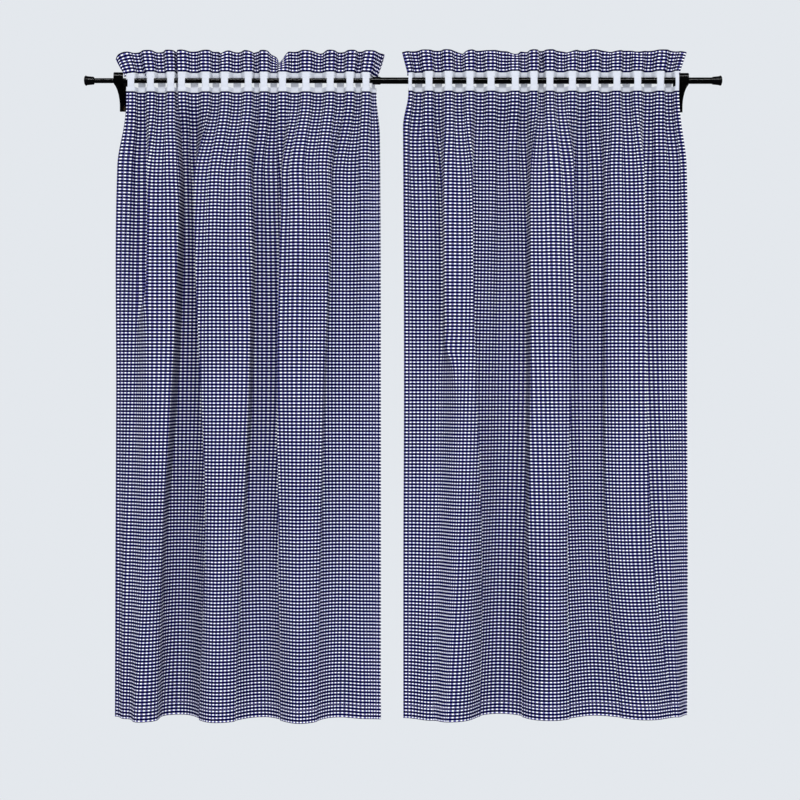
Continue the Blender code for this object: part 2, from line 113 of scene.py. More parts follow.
class NodeBench:
    """Lays out the shader nodes of one material."""

    def __init__(self, name: str) -> None:
        """Start a material with its shader.

        Args:
            name: The material's name.
        """
        self.material = bpy.data.materials.new(name)
        self.material.use_nodes = True
        self.tree = self.material.node_tree
        self.shader = self.tree.nodes["Principled BSDF"]

    def add(self, kind: str, inputs: dict, **settings: object) -> bpy.types.Node:
        """Add a node.

        Args:
            kind: The node's type without its "ShaderNode" prefix.
            inputs: Values or sockets by input name or number.
            settings: The node's own options.

        Returns:
            The new node.
        """
        node = self.tree.nodes.new(f"ShaderNode{kind}")
        for option, value in settings.items():
            setattr(node, option, value)
        for key, value in inputs.items():
            if isinstance(value, bpy.types.NodeSocket):
                self.tree.links.new(value, node.inputs[key])
            else:
                node.inputs[key].default_value = value
        return node

    def math(self, operation: str, *values: object) -> bpy.types.NodeSocket:
        """Add a math node.

        Args:
            operation: The operation's name in Blender.
            values: Its inputs, as numbers or sockets.

        Returns:
            The result's socket.
        """
        return self.add("Math", dict(enumerate(values)), operation=operation).outputs[0]

    def blend(self, share: object, first: object, second: object) -> bpy.types.NodeSocket:
        """Mix two colours.

        Args:
            share: How much of the second colour is taken, from 0 to 1.
            first: The first colour.
            second: The second colour.

        Returns:
            The mixed colour's socket.
        """
        node = self.add("Mix", {0: share, 6: first, 7: second}, data_type="RGBA")
        return node.outputs[2]

    def noise(self, place: object, scale: float, detail: float = 2.0) -> bpy.types.NodeSocket:
        """Add a noise texture and give its value's socket."""
        inputs = {"Vector": place, "Scale": scale, "Detail": detail}
        return self.add("TexNoise", inputs).outputs[0]

    def cut_place(self) -> bpy.types.NodeSocket:
        """Give the place on the cloth as it was cut, in metres."""
        return self.add("UVMap", {}, uv_map=CUT_MAP).outputs[0]

    def own_place(self) -> bpy.types.NodeSocket:
        """Give the place in the piece's own coordinates, in metres."""
        return self.add("TexCoord", {}).outputs["Object"]

    def share_of(self, value: object, share: float, base: object) -> bpy.types.NodeSocket:
        """Add a share of a value to a base, which is a number or a socket."""
        return self.math("ADD", self.math("MULTIPLY", value, share), base)

    def stripes(
        self, place: object, pitch: float, softness: float, fullness: float = 0.0
    ) -> bpy.types.NodeSocket:
        """Make stripes about as wide as the spaces between them.

        Args:
            place: The socket of the place across the stripes, in metres.
            pitch: The distance from one stripe to the next, in metres.
            softness: How far a stripe's edge is blurred, from 0 to 1.
            fullness: How much wider the stripes are than the spaces.

        Returns:
            A socket that is 1 on a stripe and 0 between, with the first stripe from 0 on.
        """
        wave = self.math("SINE", self.math("MULTIPLY", place, 2.0 * math.pi / pitch))
        low, high = -softness - fullness, softness - fullness
        limits = {"Value": wave, "From Min": low, "From Max": high}
        return self.add("MapRange", limits, interpolation_type="SMOOTHSTEP").outputs[0]

    def dress_shader(self, **inputs: object) -> None:
        """Set or link the shader's own inputs.

        Args:
            inputs: Values or sockets by input name, with underscores for its spaces.
        """
        for key, value in inputs.items():
            socket = self.shader.inputs[key.replace("_", " ")]
            if isinstance(value, bpy.types.NodeSocket):
                self.tree.links.new(value, socket)
            else:
                socket.default_value = value

    def bump(self, height: object, depth: float, strength: float) -> None:
        """Raise the surface by a height.

        Args:
            height: The height's socket.
            depth: How far a height of 1 rises, in millimetres.
            strength: How much of the relief shows, from 0 to 1.
        """
        inputs = {"Height": height, "Distance": depth * MM, "Strength": strength}
        node = self.add("Bump", inputs)
        self.tree.links.new(node.outputs[0], self.shader.inputs["Normal"])


def colour(red: float, green: float, blue: float) -> tuple[float, float, float, float]:
    """Give a linear colour with full alpha."""
    return (red, green, blue, 1.0)


@dataclass(frozen=True)
class GinghamCotton:
    """Yarn-dyed cotton with a small navy and white check."""

    check_width: float = PANEL_WIDTH / 97.0
    check_height: float = 5.74
    edge_softness: float = 0.1
    warp_fullness: float = 0.16
    weft_fullness: float = 0.49
    white: tuple = colour(0.97, 0.97, 1.0)
    navy_across_white: tuple = colour(0.142, 0.138, 0.375)
    white_across_navy: tuple = colour(0.008, 0.008, 0.060)
    navy: tuple = colour(0.0002, 0.0002, 0.018)
    wander: float = 0.25
    wander_scale: float = 60.0
    thread_pitch: float = 0.42
    weave_depth: float = 0.06
    slub_scale: float = 300.0
    slub_slimness: float = 9.0
    slub_shade: float = 0.16
    slub_height: float = 2.0
    wash_scale: float = 9.0
    wash_shade: float = 0.10
    darkest: float = 0.87
    roughness: float = 0.78
    slub_roughness: float = 0.15
    gloss: float = 0.04

    def material(self) -> bpy.types.Material:
        """Build the cloth's material.

        Returns:
            The material, which reads the cloth's flat coordinates.
        """
        bench = NodeBench("gingham cotton")
        flat = bench.cut_place()
        wobble = bench.add("TexNoise", {"Vector": flat, "Scale": self.wander_scale, "Detail": 3.0})
        shift = bench.add(
            "VectorMath", {0: wobble.outputs["Color"], 1: (0.5, 0.5, 0.5)}, operation="SUBTRACT"
        )
        moved = bench.add(
            "VectorMath",
            {0: shift.outputs[0], 1: (self.wander * MM,) * 3, 2: flat},
            operation="MULTIPLY_ADD",
        )
        split = bench.add("SeparateXYZ", {0: moved.outputs[0]})
        across, down = split.outputs[0], split.outputs[1]
        warp = bench.stripes(across, self.check_width * MM, self.edge_softness, self.warp_fullness)
        weft = bench.stripes(down, self.check_height * MM, self.edge_softness, self.weft_fullness)
        light_row = bench.blend(warp, self.white, self.navy_across_white)
        dark_row = bench.blend(warp, self.white_across_navy, self.navy)
        check = bench.blend(weft, light_row, dark_row)

        stretched = {"Vector": flat, "Scale": (1.0, self.slub_slimness, 1.0)}
        slub_place = bench.add("Mapping", stretched).outputs[0]
        slub = bench.noise(slub_place, self.slub_scale, 3.0)
        wash = bench.noise(flat, self.wash_scale, 3.0)
        washed = bench.share_of(wash, self.wash_shade, self.darkest)
        level = bench.share_of(slub, self.slub_shade, washed)
        grey = bench.add("CombineColor", {0: level, 1: level, 2: level}).outputs[0]
        layers = {0: 1.0, 6: check, 7: grey}
        toned = bench.add("Mix", layers, data_type="RGBA", blend_type="MULTIPLY")

        turn = 2.0 * math.pi / (self.thread_pitch * MM)
        warp_thread = bench.math("SINE", bench.math("MULTIPLY", across, turn))
        weft_thread = bench.math("SINE", bench.math("MULTIPLY", down, turn))
        weave = bench.math("MULTIPLY", warp_thread, weft_thread)
        bench.bump(bench.share_of(slub, self.slub_height, weave), self.weave_depth, 0.5)
        rough = bench.share_of(slub, self.slub_roughness, self.roughness)
        bench.dress_shader(Base_Color=toned.outputs[2], Roughness=rough)
        bench.dress_shader(Specular_IOR_Level=self.gloss)
        return bench.material


@dataclass(frozen=True)
class WovenTape:
    """White cotton webbing with fine ribs."""

    yarn: tuple = colour(0.60, 0.62, 0.68)
    between: tuple = colour(0.52, 0.54, 0.60)
    rib_pitch: float = 1.1
    pick_pitch: float = 0.8
    weave_depth: float = 0.18
    fuzz_scale: float = 700.0
    fuzz_height: float = 0.6
    yarn_share: float = 0.7
    roughness: float = 0.75
    fuzz_roughness: float = 0.15
    gloss: float = 0.2
    sheen: float = 0.1

    def material(self) -> bpy.types.Material:
        """Build the webbing's material.

        Returns:
            The material, with ribs that follow the tape's flat coordinates.
        """
        bench = NodeBench("white woven tape")
        flat = bench.cut_place()
        split = bench.add("SeparateXYZ", {0: flat})
        rib = bench.stripes(split.outputs[0], self.rib_pitch * MM, 1.0)
        pick = bench.stripes(split.outputs[1], self.pick_pitch * MM, 1.0)
        fuzz = bench.noise(flat, self.fuzz_scale, 3.0)
        weave = bench.math("MULTIPLY", rib, bench.share_of(pick, 0.5, 0.5))
        height = bench.share_of(fuzz, self.fuzz_height, weave)
        share = bench.math("MULTIPLY", height, self.yarn_share)
        shade = bench.blend(share, self.between, self.yarn)
        bench.bump(height, self.weave_depth, 0.6)
        rough = bench.share_of(fuzz, self.fuzz_roughness, self.roughness)
        bench.dress_shader(Base_Color=shade, Roughness=rough, Specular_IOR_Level=self.gloss)
        bench.dress_shader(Sheen_Weight=self.sheen, Sheen_Roughness=0.4)
        return bench.material


@dataclass(frozen=True)
class SewingThread:
    """Fine twisted thread."""

    name: str
    shade: tuple
    dimming: float = 0.7
    twist_scale: float = 2500.0
    twist_depth: float = 0.05
    roughness: float = 0.7
    gloss: float = 0.3

    def material(self) -> bpy.types.Material:
        """Build the thread's material.

        Returns:
            The material, with the thread's twist.
        """
        bench = NodeBench(self.name)
        twist = bench.noise(bench.own_place(), self.twist_scale)
        dim = colour(*(part * self.dimming for part in self.shade[:3]))
        bench.bump(twist, self.twist_depth, 0.5)
        bench.dress_shader(Base_Color=bench.blend(twist, dim, self.shade))
        bench.dress_shader(Roughness=self.roughness, Specular_IOR_Level=self.gloss)
        return bench.material


@dataclass(frozen=True)
class BlackEnamel:
    """Glossy black finish on metal or moulded plastic, a little rubbed along its edges."""

    name: str
    base: tuple
    low_roughness: float
    grain_scale: float
    grain_depth: float
    worn: tuple = colour(0.02, 0.02, 0.02)
    first_worn: float = 0.53
    most_worn: float = 0.62
    wear: float = 0.5
    patch_scale: float = 35.0
    patch_roughness: float = 0.06
    gloss: float = 0.16

    def material(self) -> bpy.types.Material:
        """Build the finish.

        Returns:
            The material, with a fine grain and a little wear along the edges.
        """
        bench = NodeBench(self.name)
        place = bench.own_place()
        grain = bench.noise(place, self.grain_scale, 3.0)
        patches = bench.noise(place, self.patch_scale, 4.0)
        edges = bench.add("NewGeometry", {}).outputs["Pointiness"]
        limits = {"From Min": self.first_worn, "From Max": self.most_worn, "To Max": self.wear}
        sharp = bench.add("MapRange", {"Value": edges, **limits}).outputs[0]
        rubbed = bench.math("MULTIPLY", sharp, patches)
        bench.dress_shader(Base_Color=bench.blend(rubbed, self.base, self.worn))
        rough = bench.share_of(patches, self.patch_roughness, self.low_roughness)
        bench.dress_shader(Roughness=rough, Specular_IOR_Level=self.gloss)
        bench.bump(grain, self.grain_depth, 0.4)
        return bench.material


@dataclass(frozen=True)
class BrassPlate:
    """Brass plated steel of a small screw."""

    bright: tuple = colour(0.80, 0.58, 0.28)
    dull: tuple = colour(0.42, 0.28, 0.12)
    patch_scale: float = 900.0
    patch_depth: float = 0.02
    roughness: float = 0.32
    patch_roughness: float = 0.25

    def material(self) -> bpy.types.Material:
        """Build the plating.

        Returns:
            The material, duller in patches.
        """
        bench = NodeBench("brass plate")
        patches = bench.noise(bench.own_place(), self.patch_scale, 3.0)
        bench.dress_shader(Base_Color=bench.blend(patches, self.dull, self.bright))
        rough = bench.share_of(patches, self.patch_roughness, self.roughness)
        bench.dress_shader(Roughness=rough, Metallic=1.0)
        bench.bump(patches, self.patch_depth, 0.4)
        return bench.material


def rounded_step(share: Array, ramp: float) -> Array:
    """Go from 0 to 1 with level ends and a straight middle, as cloth does between two folds.

    Args:
        share: How far along the step each point is, from 0 to 1.
        ramp: The share of the step that each rounded end takes.

    Returns:
        The height of each point, from 0 to 1.
    """
    share = np.clip(share, 0.0, 1.0)
    rising = share**2 / (2.0 * ramp)
    straight = share - ramp / 2.0
    falling = (1.0 - ramp) - (1.0 - share) ** 2 / (2.0 * ramp)
    both = np.where(share < ramp, rising, np.where(share > 1.0 - ramp, falling, straight))
    return both / (1.0 - ramp)


def smooth_step(share: Array) -> Array:
    """Go from 0 to 1 with level ends."""
    share = np.clip(share, 0.0, 1.0)
    return share * share * (3.0 - 2.0 * share)


def bump_at(flat: Array, centre: float, half_width: float) -> Array:
    """Give a soft bump of height 1 round a place."""
    return np.exp(-(((flat - centre) / half_width) ** 2))


def read_levels(values: tuple, below: float) -> float:
    """Read a table's values, given at LEVELS, as a smooth curve.

    Args:
        values: One value for each level.
        below: The depth to read at.

    Returns:
        The value there.
    """
    levels = np.array(LEVELS)
    table = np.array(values)
    slopes = np.gradient(table, levels)
    index = int(np.clip(np.searchsorted(levels, below) - 1, 0, len(levels) - 2))
    length = levels[index + 1] - levels[index]
    t = min(max((below - levels[index]) / length, 0.0), 1.0)
    eased = t * t * (3.0 - 2.0 * t)
    value = (1.0 - eased) * table[index] + eased * table[index + 1]
    value += (t**3 - 2.0 * t**2 + t) * length * slopes[index]
    value += (t**3 - t**2) * length * slopes[index + 1]
    return float(value)


@dataclass(frozen=True)
class Fold:
    """A crest or valley line of the drop, and the steep turn that leads on to the next one.

    Attributes:
        flat: The line's place on the flat cloth.
        along: Its place along the rod at each level.
        forward: Its place before the rod at each level.
        turn: Where along the rod the middle of the steep turn after it lies, at each level.
        soft_below: The depth from which the cloth goes on to the next line evenly instead.
        gentle: The share of the rise that the cloth makes evenly all the way to the next line.
    """

    flat: float
    along: tuple
    forward: tuple
    turn: tuple = ()
    soft_below: float = NEVER_SOFT
    gentle: float = 0.28


@dataclass(frozen=True)
class Dip:
    """A place where the ruffle's top edge sinks."""

    flat: float
    half_width: float
    drop: float


@dataclass
class ClothSurface:
    """The middle surface of a hanging cloth, as a table over its flat width and its depth."""

    flats: Array
    belows: Array
    place: Array
    normal: Array = field(init=False)
    tangent: Array = field(init=False)

    def __post_init__(self) -> None:
        """Work out the directions across the cloth and out of it."""
        across = np.gradient(self.place, self.flats, axis=1)
        down = np.gradient(self.place, self.belows, axis=0)
        normal = np.cross(across, down)
        self.normal = normal / np.linalg.norm(normal, axis=2, keepdims=True)
        self.tangent = across / np.linalg.norm(across, axis=2, keepdims=True)

    def read(self, table: Array, flats: Array, belows: Array) -> Array:
        """Read a table between its points.

        Args:
            table: The place, normal or tangent.
            flats: Flat places.
            belows: Depths, of a shape that goes with flats.

        Returns:
            The values there.
        """
        flats, belows = np.broadcast_arrays(flats, belows)
        row = np.interp(belows, self.belows, np.arange(len(self.belows)))
        column = np.interp(flats, self.flats, np.arange(len(self.flats)))
        r = np.clip(row.astype(int), 0, len(self.belows) - 2)
        c = np.clip(column.astype(int), 0, len(self.flats) - 2)
        fr, fc = (row - r)[..., None], (column - c)[..., None]
        upper = table[r, c] * (1.0 - fc) + table[r, c + 1] * fc
        lower = table[r + 1, c] * (1.0 - fc) + table[r + 1, c + 1] * fc
        return upper * (1.0 - fr) + lower * fr

    def at(self, flats: Array, belows: Array, lift: Array) -> Array:
        """Give points on the cloth, lifted off it along its normal."""
        raised = self.read(self.normal, flats, belows) * np.asarray(lift)[..., None]
        return self.read(self.place, flats, belows) + raised


@dataclass
class Turning:
    """A line of cut places that is folded back at one or both ends."""

    cuts: Array
    flats: Array
    turned: Array

    @classmethod
    def made(cls, inner: Array, low: float | None, high: float | None, depth: float) -> "Turning":
        """Fold a line of places back at its ends.

        Args:
            inner: The places between the folds.
            low: Where the line is folded at its start, or None.
            high: Where it is folded at its end, or None.
            depth: How much is turned back.

        Returns:
            The line with its turned parts.
        """
        radius, first, steps = 0.5, 2.0, 4
        back = np.arange(first, depth + 0.1, (depth - first) / steps)
        bend = np.array([-1.0, -0.5, 0.0, 0.5])
        cuts, flats, turned = [inner], [inner], [np.zeros_like(inner)]
        share = (1.0 + np.sin(bend * math.pi / 2.0)) / 2.0
        inset = radius * (1.0 - np.cos(bend * math.pi / 2.0))
        if low is not None:
            cuts.insert(0, np.concatenate([low - back[::-1], low + bend * radius]))
            flats.insert(0, np.concatenate([low + back[::-1], low + inset]))
            turned.insert(0, np.concatenate([np.ones_like(back), 1.0 - share]))
        if high is not None:
            cuts.append(np.concatenate([high - bend[::-1] * radius, high + back]))
            flats.append(np.concatenate([high - inset[::-1], high - back]))
            turned.append(np.concatenate([1.0 - share[::-1], np.ones_like(back)]))
        return cls(np.concatenate(cuts), np.concatenate(flats), np.concatenate(turned))


@dataclass(frozen=True)
class Hanging:
    """Where a panel hangs, to turn its own measures into the frame's metres."""

    slot_top: float

    def to_frame(self, place: Array) -> Array:
        """Turn points along, forward and up from the slots into the frame's metres.

        Args:
            place: Points in millimetres.

        Returns:
            The same points in the frame.
        """
        along, forward, up = place[..., 0], place[..., 1], place[..., 2]
        return np.stack([along, -ROD_OUT - forward, self.slot_top + up], axis=-1) * MM


def mesh_of(
    name: str, points: Array, faces: list, material: bpy.types.Material
) -> bpy.types.Object:
    """Make a smooth mesh object from points and faces.

    Args:
        name: The object's name.
        points: One row for each vertex, in metres.
        faces: The vertex numbers of each face.
        material: The finish.

    Returns:
        The linked object.
    """
    mesh = bpy.data.meshes.new(name)
    mesh.from_pydata(points.reshape(-1, 3).tolist(), [], faces)
    mesh.materials.append(material)
    mesh.shade_smooth()
    piece = bpy.data.objects.new(name, mesh)
    bpy.context.scene.collection.objects.link(piece)
    return piece


def face_outward(piece: bpy.types.Object) -> None:
    """Turn the faces of a closed piece outward.

    Args:
        piece: The piece.
    """
    edit = bmesh.new()
    edit.from_mesh(piece.data)
    bmesh.ops.recalc_face_normals(edit, faces=edit.faces)
    edit.to_mesh(piece.data)
    edit.free()


def settle(piece: bpy.types.Object, slot: Slot, nodes: tuple = ()) -> bpy.types.Object:
    """Let a piece ride on the body, and hide the solids that it stands for.

    Args:
        piece: The finished piece.
        slot: Its material slot; not used.
        nodes: The solids that it stands for.

    Returns:
        The same piece.
    """
    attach(piece, BODY)
    if nodes:
        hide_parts(*nodes)
    LOG.info("%s: %d faces", piece.name, len(piece.data.polygons))
    return piece


@dataclass
class ThinSheet:
    """A closed thin sheet on a grid, with its cut coordinates as one map and a bake map."""

    name: str
    place: Array
    across: Array
    down: Array
    thickness: Array
    kept: Array | None = None

    def build(self, material: bpy.types.Material) -> bpy.types.Object:
        """Build the sheet's two faces and its edges.

        Args:
            material: The cloth's finish.

        Returns:
            The sheet.
        """
        rows, columns = self.place.shape[:2]
        along_row = np.gradient(self.place, axis=1)
        along_column = np.gradient(self.place, axis=0)
        normal = np.cross(along_column, along_row)
        normal /= np.maximum(np.linalg.norm(normal, axis=2, keepdims=True), 1e-12)
        half = (self.thickness * MM / 2.0)[..., None] * normal
        sides = (self.place + half, self.place - half)
        points = np.concatenate([side.reshape(-1, 3) for side in sides])
        count = rows * columns
        kept = self.kept if self.kept is not None else np.ones((rows - 1, columns - 1), bool)
        number = np.arange(count).reshape(rows, columns)
        ring = (number[:-1, :-1], number[1:, :-1], number[1:, 1:], number[:-1, 1:])
        front = np.stack([corner[kept] for corner in ring], axis=1)
        back = front[:, ::-1] + count
        rims = []
        padded = np.pad(kept, 1)
        beside = (padded[1:-1, :-2], padded[2:, 1:-1], padded[1:-1, 2:], padded[:-2, 1:-1])
        for edge, neighbour in enumerate(beside):
            open_edge = kept & ~neighbour
            start, end = ring[edge][open_edge], ring[(edge + 1) % 4][open_edge]
            rims.append(np.stack([end, start, start + count, end + count], axis=1))
        rim = np.concatenate(rims)
        faces = np.concatenate([front, back, rim])
        piece = mesh_of(self.name, points, faces.tolist(), material)
        self.lay_maps(piece.data, faces, len(front), count)
        return piece

    def lay_maps(self, mesh: bpy.types.Mesh, faces: Array, fronts: int, count: int) -> None:
        """Lay the cut coordinates and the bake's islands on the sheet.

        Args:
            mesh: The sheet's mesh.
            faces: Its faces, front ones first, then back ones, then rims.
            fronts: How many faces the front has.
            count: How many points one side has.
        """
        rows, columns = self.place.shape[:2]
        u = np.tile(self.across, (rows, 1)).ravel()
        v = np.tile(self.down[:, None], (1, columns)).ravel()
        corners = faces.ravel() % count
        cut = mesh.uv_layers.new(name=CUT_MAP)
        cut.data.foreach_set("uv", (np.stack([u, v], axis=1)[corners] * MM).ravel())
        wide, tall = np.ptp(u), np.ptp(v)
        share_u = (u - u.min()) / wide
        share_v = 1.0 - (v - v.min()) / tall
        side_by_side = tall > wide
        first, second = (share_u, share_v) if side_by_side else (share_v, share_u)
        margin, island, other_half = 0.01, 0.48, 0.5
        split = margin + island * first[corners]
        whole = margin + (1.0 - 2.0 * margin) * second[corners]
        shift = np.zeros(len(faces))
        shift[fronts : 2 * fronts] = other_half
        split += np.repeat(shift, 4)
        on_back_rim = (np.arange(len(faces)) >= 2 * fronts).repeat(4) & (faces.ravel() >= count)
        beside, beyond = 0.004, 0.006
        split = np.where(on_back_rim, split + beside * np.sign(split - other_half / 2.0), split)
        whole = np.where(on_back_rim, whole + beyond * np.sign(whole - 0.5), whole)
        pair = (split, whole) if side_by_side else (whole, split)
        bake = mesh.uv_layers.new(name=BAKE_MAP)
        bake.data.foreach_set("uv", np.stack(pair, axis=1).ravel())
        mesh.uv_layers.active = cut


@dataclass
class StitchRun:
    """Rows of short stitches that lie on a cloth."""

    name: str
    length: float = 2.3
    radius: float = 0.24
    places: list = field(default_factory=list)

    def sew(
        self, surface: ClothSurface, flats: Array, belows: Array, lift: float, upright: bool
    ) -> None:
        """Lay a row of stitches.

        Args:
            surface: The cloth.
            flats: The stitches' flat places.
            belows: Their depths.
            lift: How far their middle lies before the cloth's middle.
            upright: Whether the row runs down the cloth.
        """
        flats, belows = np.broadcast_arrays(flats, belows)
        centre = surface.at(flats, belows, np.full(flats.shape, lift))
        normal = surface.read(surface.normal, flats, belows)
        tangent = surface.read(surface.tangent, flats, belows)
        other = np.cross(normal, tangent)
        line, side = (other, tangent) if upright else (tangent, other)
        self.places.append((centre, line, side, normal))

    def build(self, hanging: Hanging, material: bpy.types.Material) -> bpy.types.Object:
        """Build every stitch as a small capsule.

        Args:
            hanging: Where the panel hangs.
            material: The thread's finish.

        Returns:
            The stitches as one piece.
        """
        sides = 6
        rings = ((-0.5, 0.25), (-0.38, 1.0), (0.38, 1.0), (0.5, 0.25))
        angles = np.arange(sides) * 2.0 * math.pi / sides
        points, faces, start = [], [], 0
        for centre, line, side, normal in self.places:
            shell = []
            for share, width in rings:
                for angle in angles:
                    out = (math.cos(angle) * side + math.sin(angle) * normal) * self.radius * width
                    shell.append(centre + line * share * self.length + out)
            points.append(hanging.to_frame(np.stack(shell, axis=1)).reshape(-1, 3))
            for _ in range(len(centre)):
                for ring in range(len(rings) - 1):
                    for step in range(sides):
                        a = start + ring * sides + step
                        b = start + ring * sides + (step + 1) % sides
                        faces.append((a, b, b + sides, a + sides))
                faces.append(tuple(start + sides - 1 - step for step in range(sides)))
                last = start + (len(rings) - 1) * sides
                faces.append(tuple(last + step for step in range(sides)))
                start += sides * len(rings)
        piece = mesh_of(self.name, np.concatenate(points), faces, material)
        face_outward(piece)
        return piece


@dataclass
class CurtainPanel:
    """One tier: its ruffle, its ladder tape and its drop.

    Attributes:
        side: Which end of the rod it hangs at.
        tube_radius: The radius of the tube that it hangs on.
        tape_ends: Where the tape starts and ends along the rod.
        first_front_flat: The flat place of the first bar before the rod.
        front_bars: Where the bars before the rod lie along it.
        folds: The lines of the drop's folds.
        release_starts: The depths where the drop starts to leave the tape's waves, at stations
            across it.
        release_ends: The depths where it hangs free of them.
        flare: How far the ruffle's two ends spread past the tape.
        corner_drop: How far the ruffle's two top corners sink.
        end_sag: How far the tape's upper strip sinks at its two ends.
        pleat_flat: The flat place of the deepest pleat at the tape.
        dips: Where the ruffle's top edge sinks.
        last_back_bar: How far forward the tape lies past its last front bar.
    """

    side: Side
    tube_radius: float
    tape_ends: tuple
    first_front_flat: float
    front_bars: tuple
    folds: tuple
    release_starts: tuple
    release_ends: tuple
    flare: tuple
    corner_drop: tuple
    end_sag: tuple
    pleat_flat: float
    dips: tuple
    last_back_bar: float

    # The tape
    back_bar_share: float = 0.58
    last_turns: tuple = (7.3, 2.4)
    pleat_depth: float = 10.0
    sag_reach: float = 18.0
    front_waist: float = 0.13
    back_waist: float = 0.02
    front_bow: float = 1.3
    back_bow: float = -0.8
    tape_thickness: float = 1.0
    thin_edge: float = 0.35
    edge_rounding: float = 1.2

    # The folds
    ripple_at_levels: tuple = (7.5, 4.2, 1.6, 1.0, 0.6)
    ripple_squareness: float = 1.6
    folds_start: float = 28.0
    folds_formed: float = 96.0
    folds_open: float = 400.0
    openness: float = 0.9
    softening: float = 160.0
    fold_rounding: float = 0.07
    steepest_at_levels: tuple = (86.0, 86.0, 84.0, 78.0, 60.0)
    end_zone: float = 80.0

    # The hems and the cloth's layers
    side_hem: float = 12.0
    bottom_hem: float = 25.0
    side_stitches: float = 10.0
    bottom_stitches: float = 22.5
    stitch_pitch: float = 3.4
    tuck: float = 5.0
    cloth_thickness: float = 0.45
    layer_gap: float = 0.6
    behind_tape: float = 0.95

    # The ruffle
    ruffle_wave: float = 7.4
    ruffle_pleat: float = 4.0
    pleat_width: float = 9.0
    flare_at_tape: float = 0.18
    flare_reach: float = 55.0
    corner_reach: float = 12.0
    dip_lean: float = 0.6
    dip_power: float = 1.5
    pucker: float = 2.4
    pucker_pitch: float = 37.0
    pucker_slant: float = 30.0
    drift_pitch: float = 143.0
    drift_slant: float = 22.0
    layer_puff: float = 1.5
    puff_pitch: float = 23.0
    ruffle_behind_tape: float = 1.25

    def __post_init__(self) -> None:
        """Lay out the flat samples and hang the panel on its tube."""
        self.samples = np.linspace(0.0, PANEL_WIDTH, 1321)
        self.hanging = Hanging(self.tube_radius + REST_GAP)

    def tape_line(self) -> tuple[Array, Array]:
        """Give the bent tape seen from above, with its corners rounded.

        Returns:
            The places along the rod and forward of it at the flat samples.
        """
        half = BAR_WIDTH / 2.0
        points = []
        for index, centre in enumerate(self.front_bars):
            flat = self.first_front_flat + TAPE_WAVE * index
            points.append((flat - half, centre - half, BAR_OFFSET))
            points.append((flat + half, centre + half, BAR_OFFSET))
            if index + 1 < len(self.front_bars):
                gap_start = centre + half
                gap = self.front_bars[index + 1] - half - gap_start
                back_half = min(half, self.back_bar_share * gap / 2.0)
                middle = gap_start + gap / 2.0
                back_flat = flat + TAPE_WAVE / 2.0
                pleated = abs(back_flat - self.pleat_flat) < half
                back = -self.pleat_depth if pleated else -BAR_OFFSET
                points.append((back_flat - half, middle - back_half, back))
                points.append((back_flat + half, middle + back_half, back))
        start, end = self.tape_ends
        last_flat = points[-1][0]
        if points[0][0] > 0.0:
            points.insert(0, (0.0, start, BAR_OFFSET))
        if last_flat < PANEL_WIDTH - BAR_WIDTH:
            for step, from_end in enumerate(self.last_turns, start=1):
                points.append((last_flat + step * BAR_WIDTH, end - from_end, self.last_back_bar))
            points.append((PANEL_WIDTH, end, self.last_back_bar))
        flats, alongs, forwards = (np.array(column) for column in zip(*points))
        along = np.interp(self.samples, flats, alongs)
        forward = np.interp(self.samples, flats, forwards)
        return self.rounded(along), self.rounded(forward)

    def rounded(self, line: Array, reach: float = 1.5) -> Array:
        """Round the corners of a line of samples.

        Args:
            line: Values at the flat samples.
            reach: How far the rounding reaches, in millimetres.

        Returns:
            The line with soft corners.
        """
        step = self.samples[1]
        half = int(3.0 * reach / step)
        weights = np.exp(-0.5 * (np.arange(-half, half + 1) * step / reach) ** 2)
        ends = (2.0 * line[0] - line[half:0:-1], line, 2.0 * line[-1] - line[-2 : -half - 2 : -1])
        return np.convolve(np.concatenate(ends), weights / weights.sum(), "valid")

    def ripple(self, flat: Array, squareness: float = 0.01) -> Array:
        """Give the small wave that the tape sends through the cloth, from -1 to 1."""
        wave = np.cos(2.0 * math.pi * (flat - self.first_front_flat) / TAPE_WAVE)
        return np.tanh(squareness * wave) / math.tanh(squareness)

    def loose_line(self, below: float) -> tuple[Array, Array]:
        """Give a level line across the drop as it hangs free of the tape.

        Args:
            below: Its depth.

        Returns:
            The places along the rod and forward of it at the flat samples.
        """
        flats = [fold.flat for fold in self.folds]
        alongs = [read_levels(fold.along, below) for fold in self.folds]
        forwards = [read_levels(fold.forward, below) for fold in self.folds]
        forward = np.full_like(self.samples, forwards[0])
        steepness = math.sin(math.radians(read_levels(self.steepest_at_levels, below)))
        to_hem = (below - self.folds_open) / (HEM_BOTTOM - self.folds_open)
        opened = self.openness * float(smooth_step(to_hem))
        for index, fold in enumerate(self.folds[:-1]):
            length = flats[index + 1] - flats[index]
            rise = forwards[index + 1] - forwards[index]
            evenly = fold.gentle + (1.0 - fold.gentle) * opened
            sudden = abs(rise) * (1.0 - evenly) + LEAST_RISE
            width = min(sudden / (steepness * (1.0 - self.fold_rounding)), length)
            softened = float(smooth_step((below - fold.soft_below) / self.softening))
            width += (length - width) * softened
            turn = read_levels(fold.turn, below)
            before = max(turn - alongs[index] - width / 4.0, LEAST_ROOM)
            after = max(alongs[index + 1] - turn - width / 4.0, LEAST_ROOM)
            centre = width / 2.0 + (length - width) * before / (before + after)
            run = self.samples - flats[index]
            steep = rounded_step((run - centre + width / 2.0) / width, self.fold_rounding)
            gentle = smooth_step(run / length)
            forward += rise * (steep + evenly * (gentle - steep))
        calm = 1.0 - np.minimum(np.abs(np.gradient(forward, self.samples)), 1.0)
        wave = read_levels(self.ripple_at_levels, below)
        forward += wave * calm * self.ripple(self.samples, self.ripple_squareness)
        slope = np.gradient(forward, self.samples)
        speed = np.sqrt(np.maximum(1.0 - slope**2, LEAST_SPREAD))
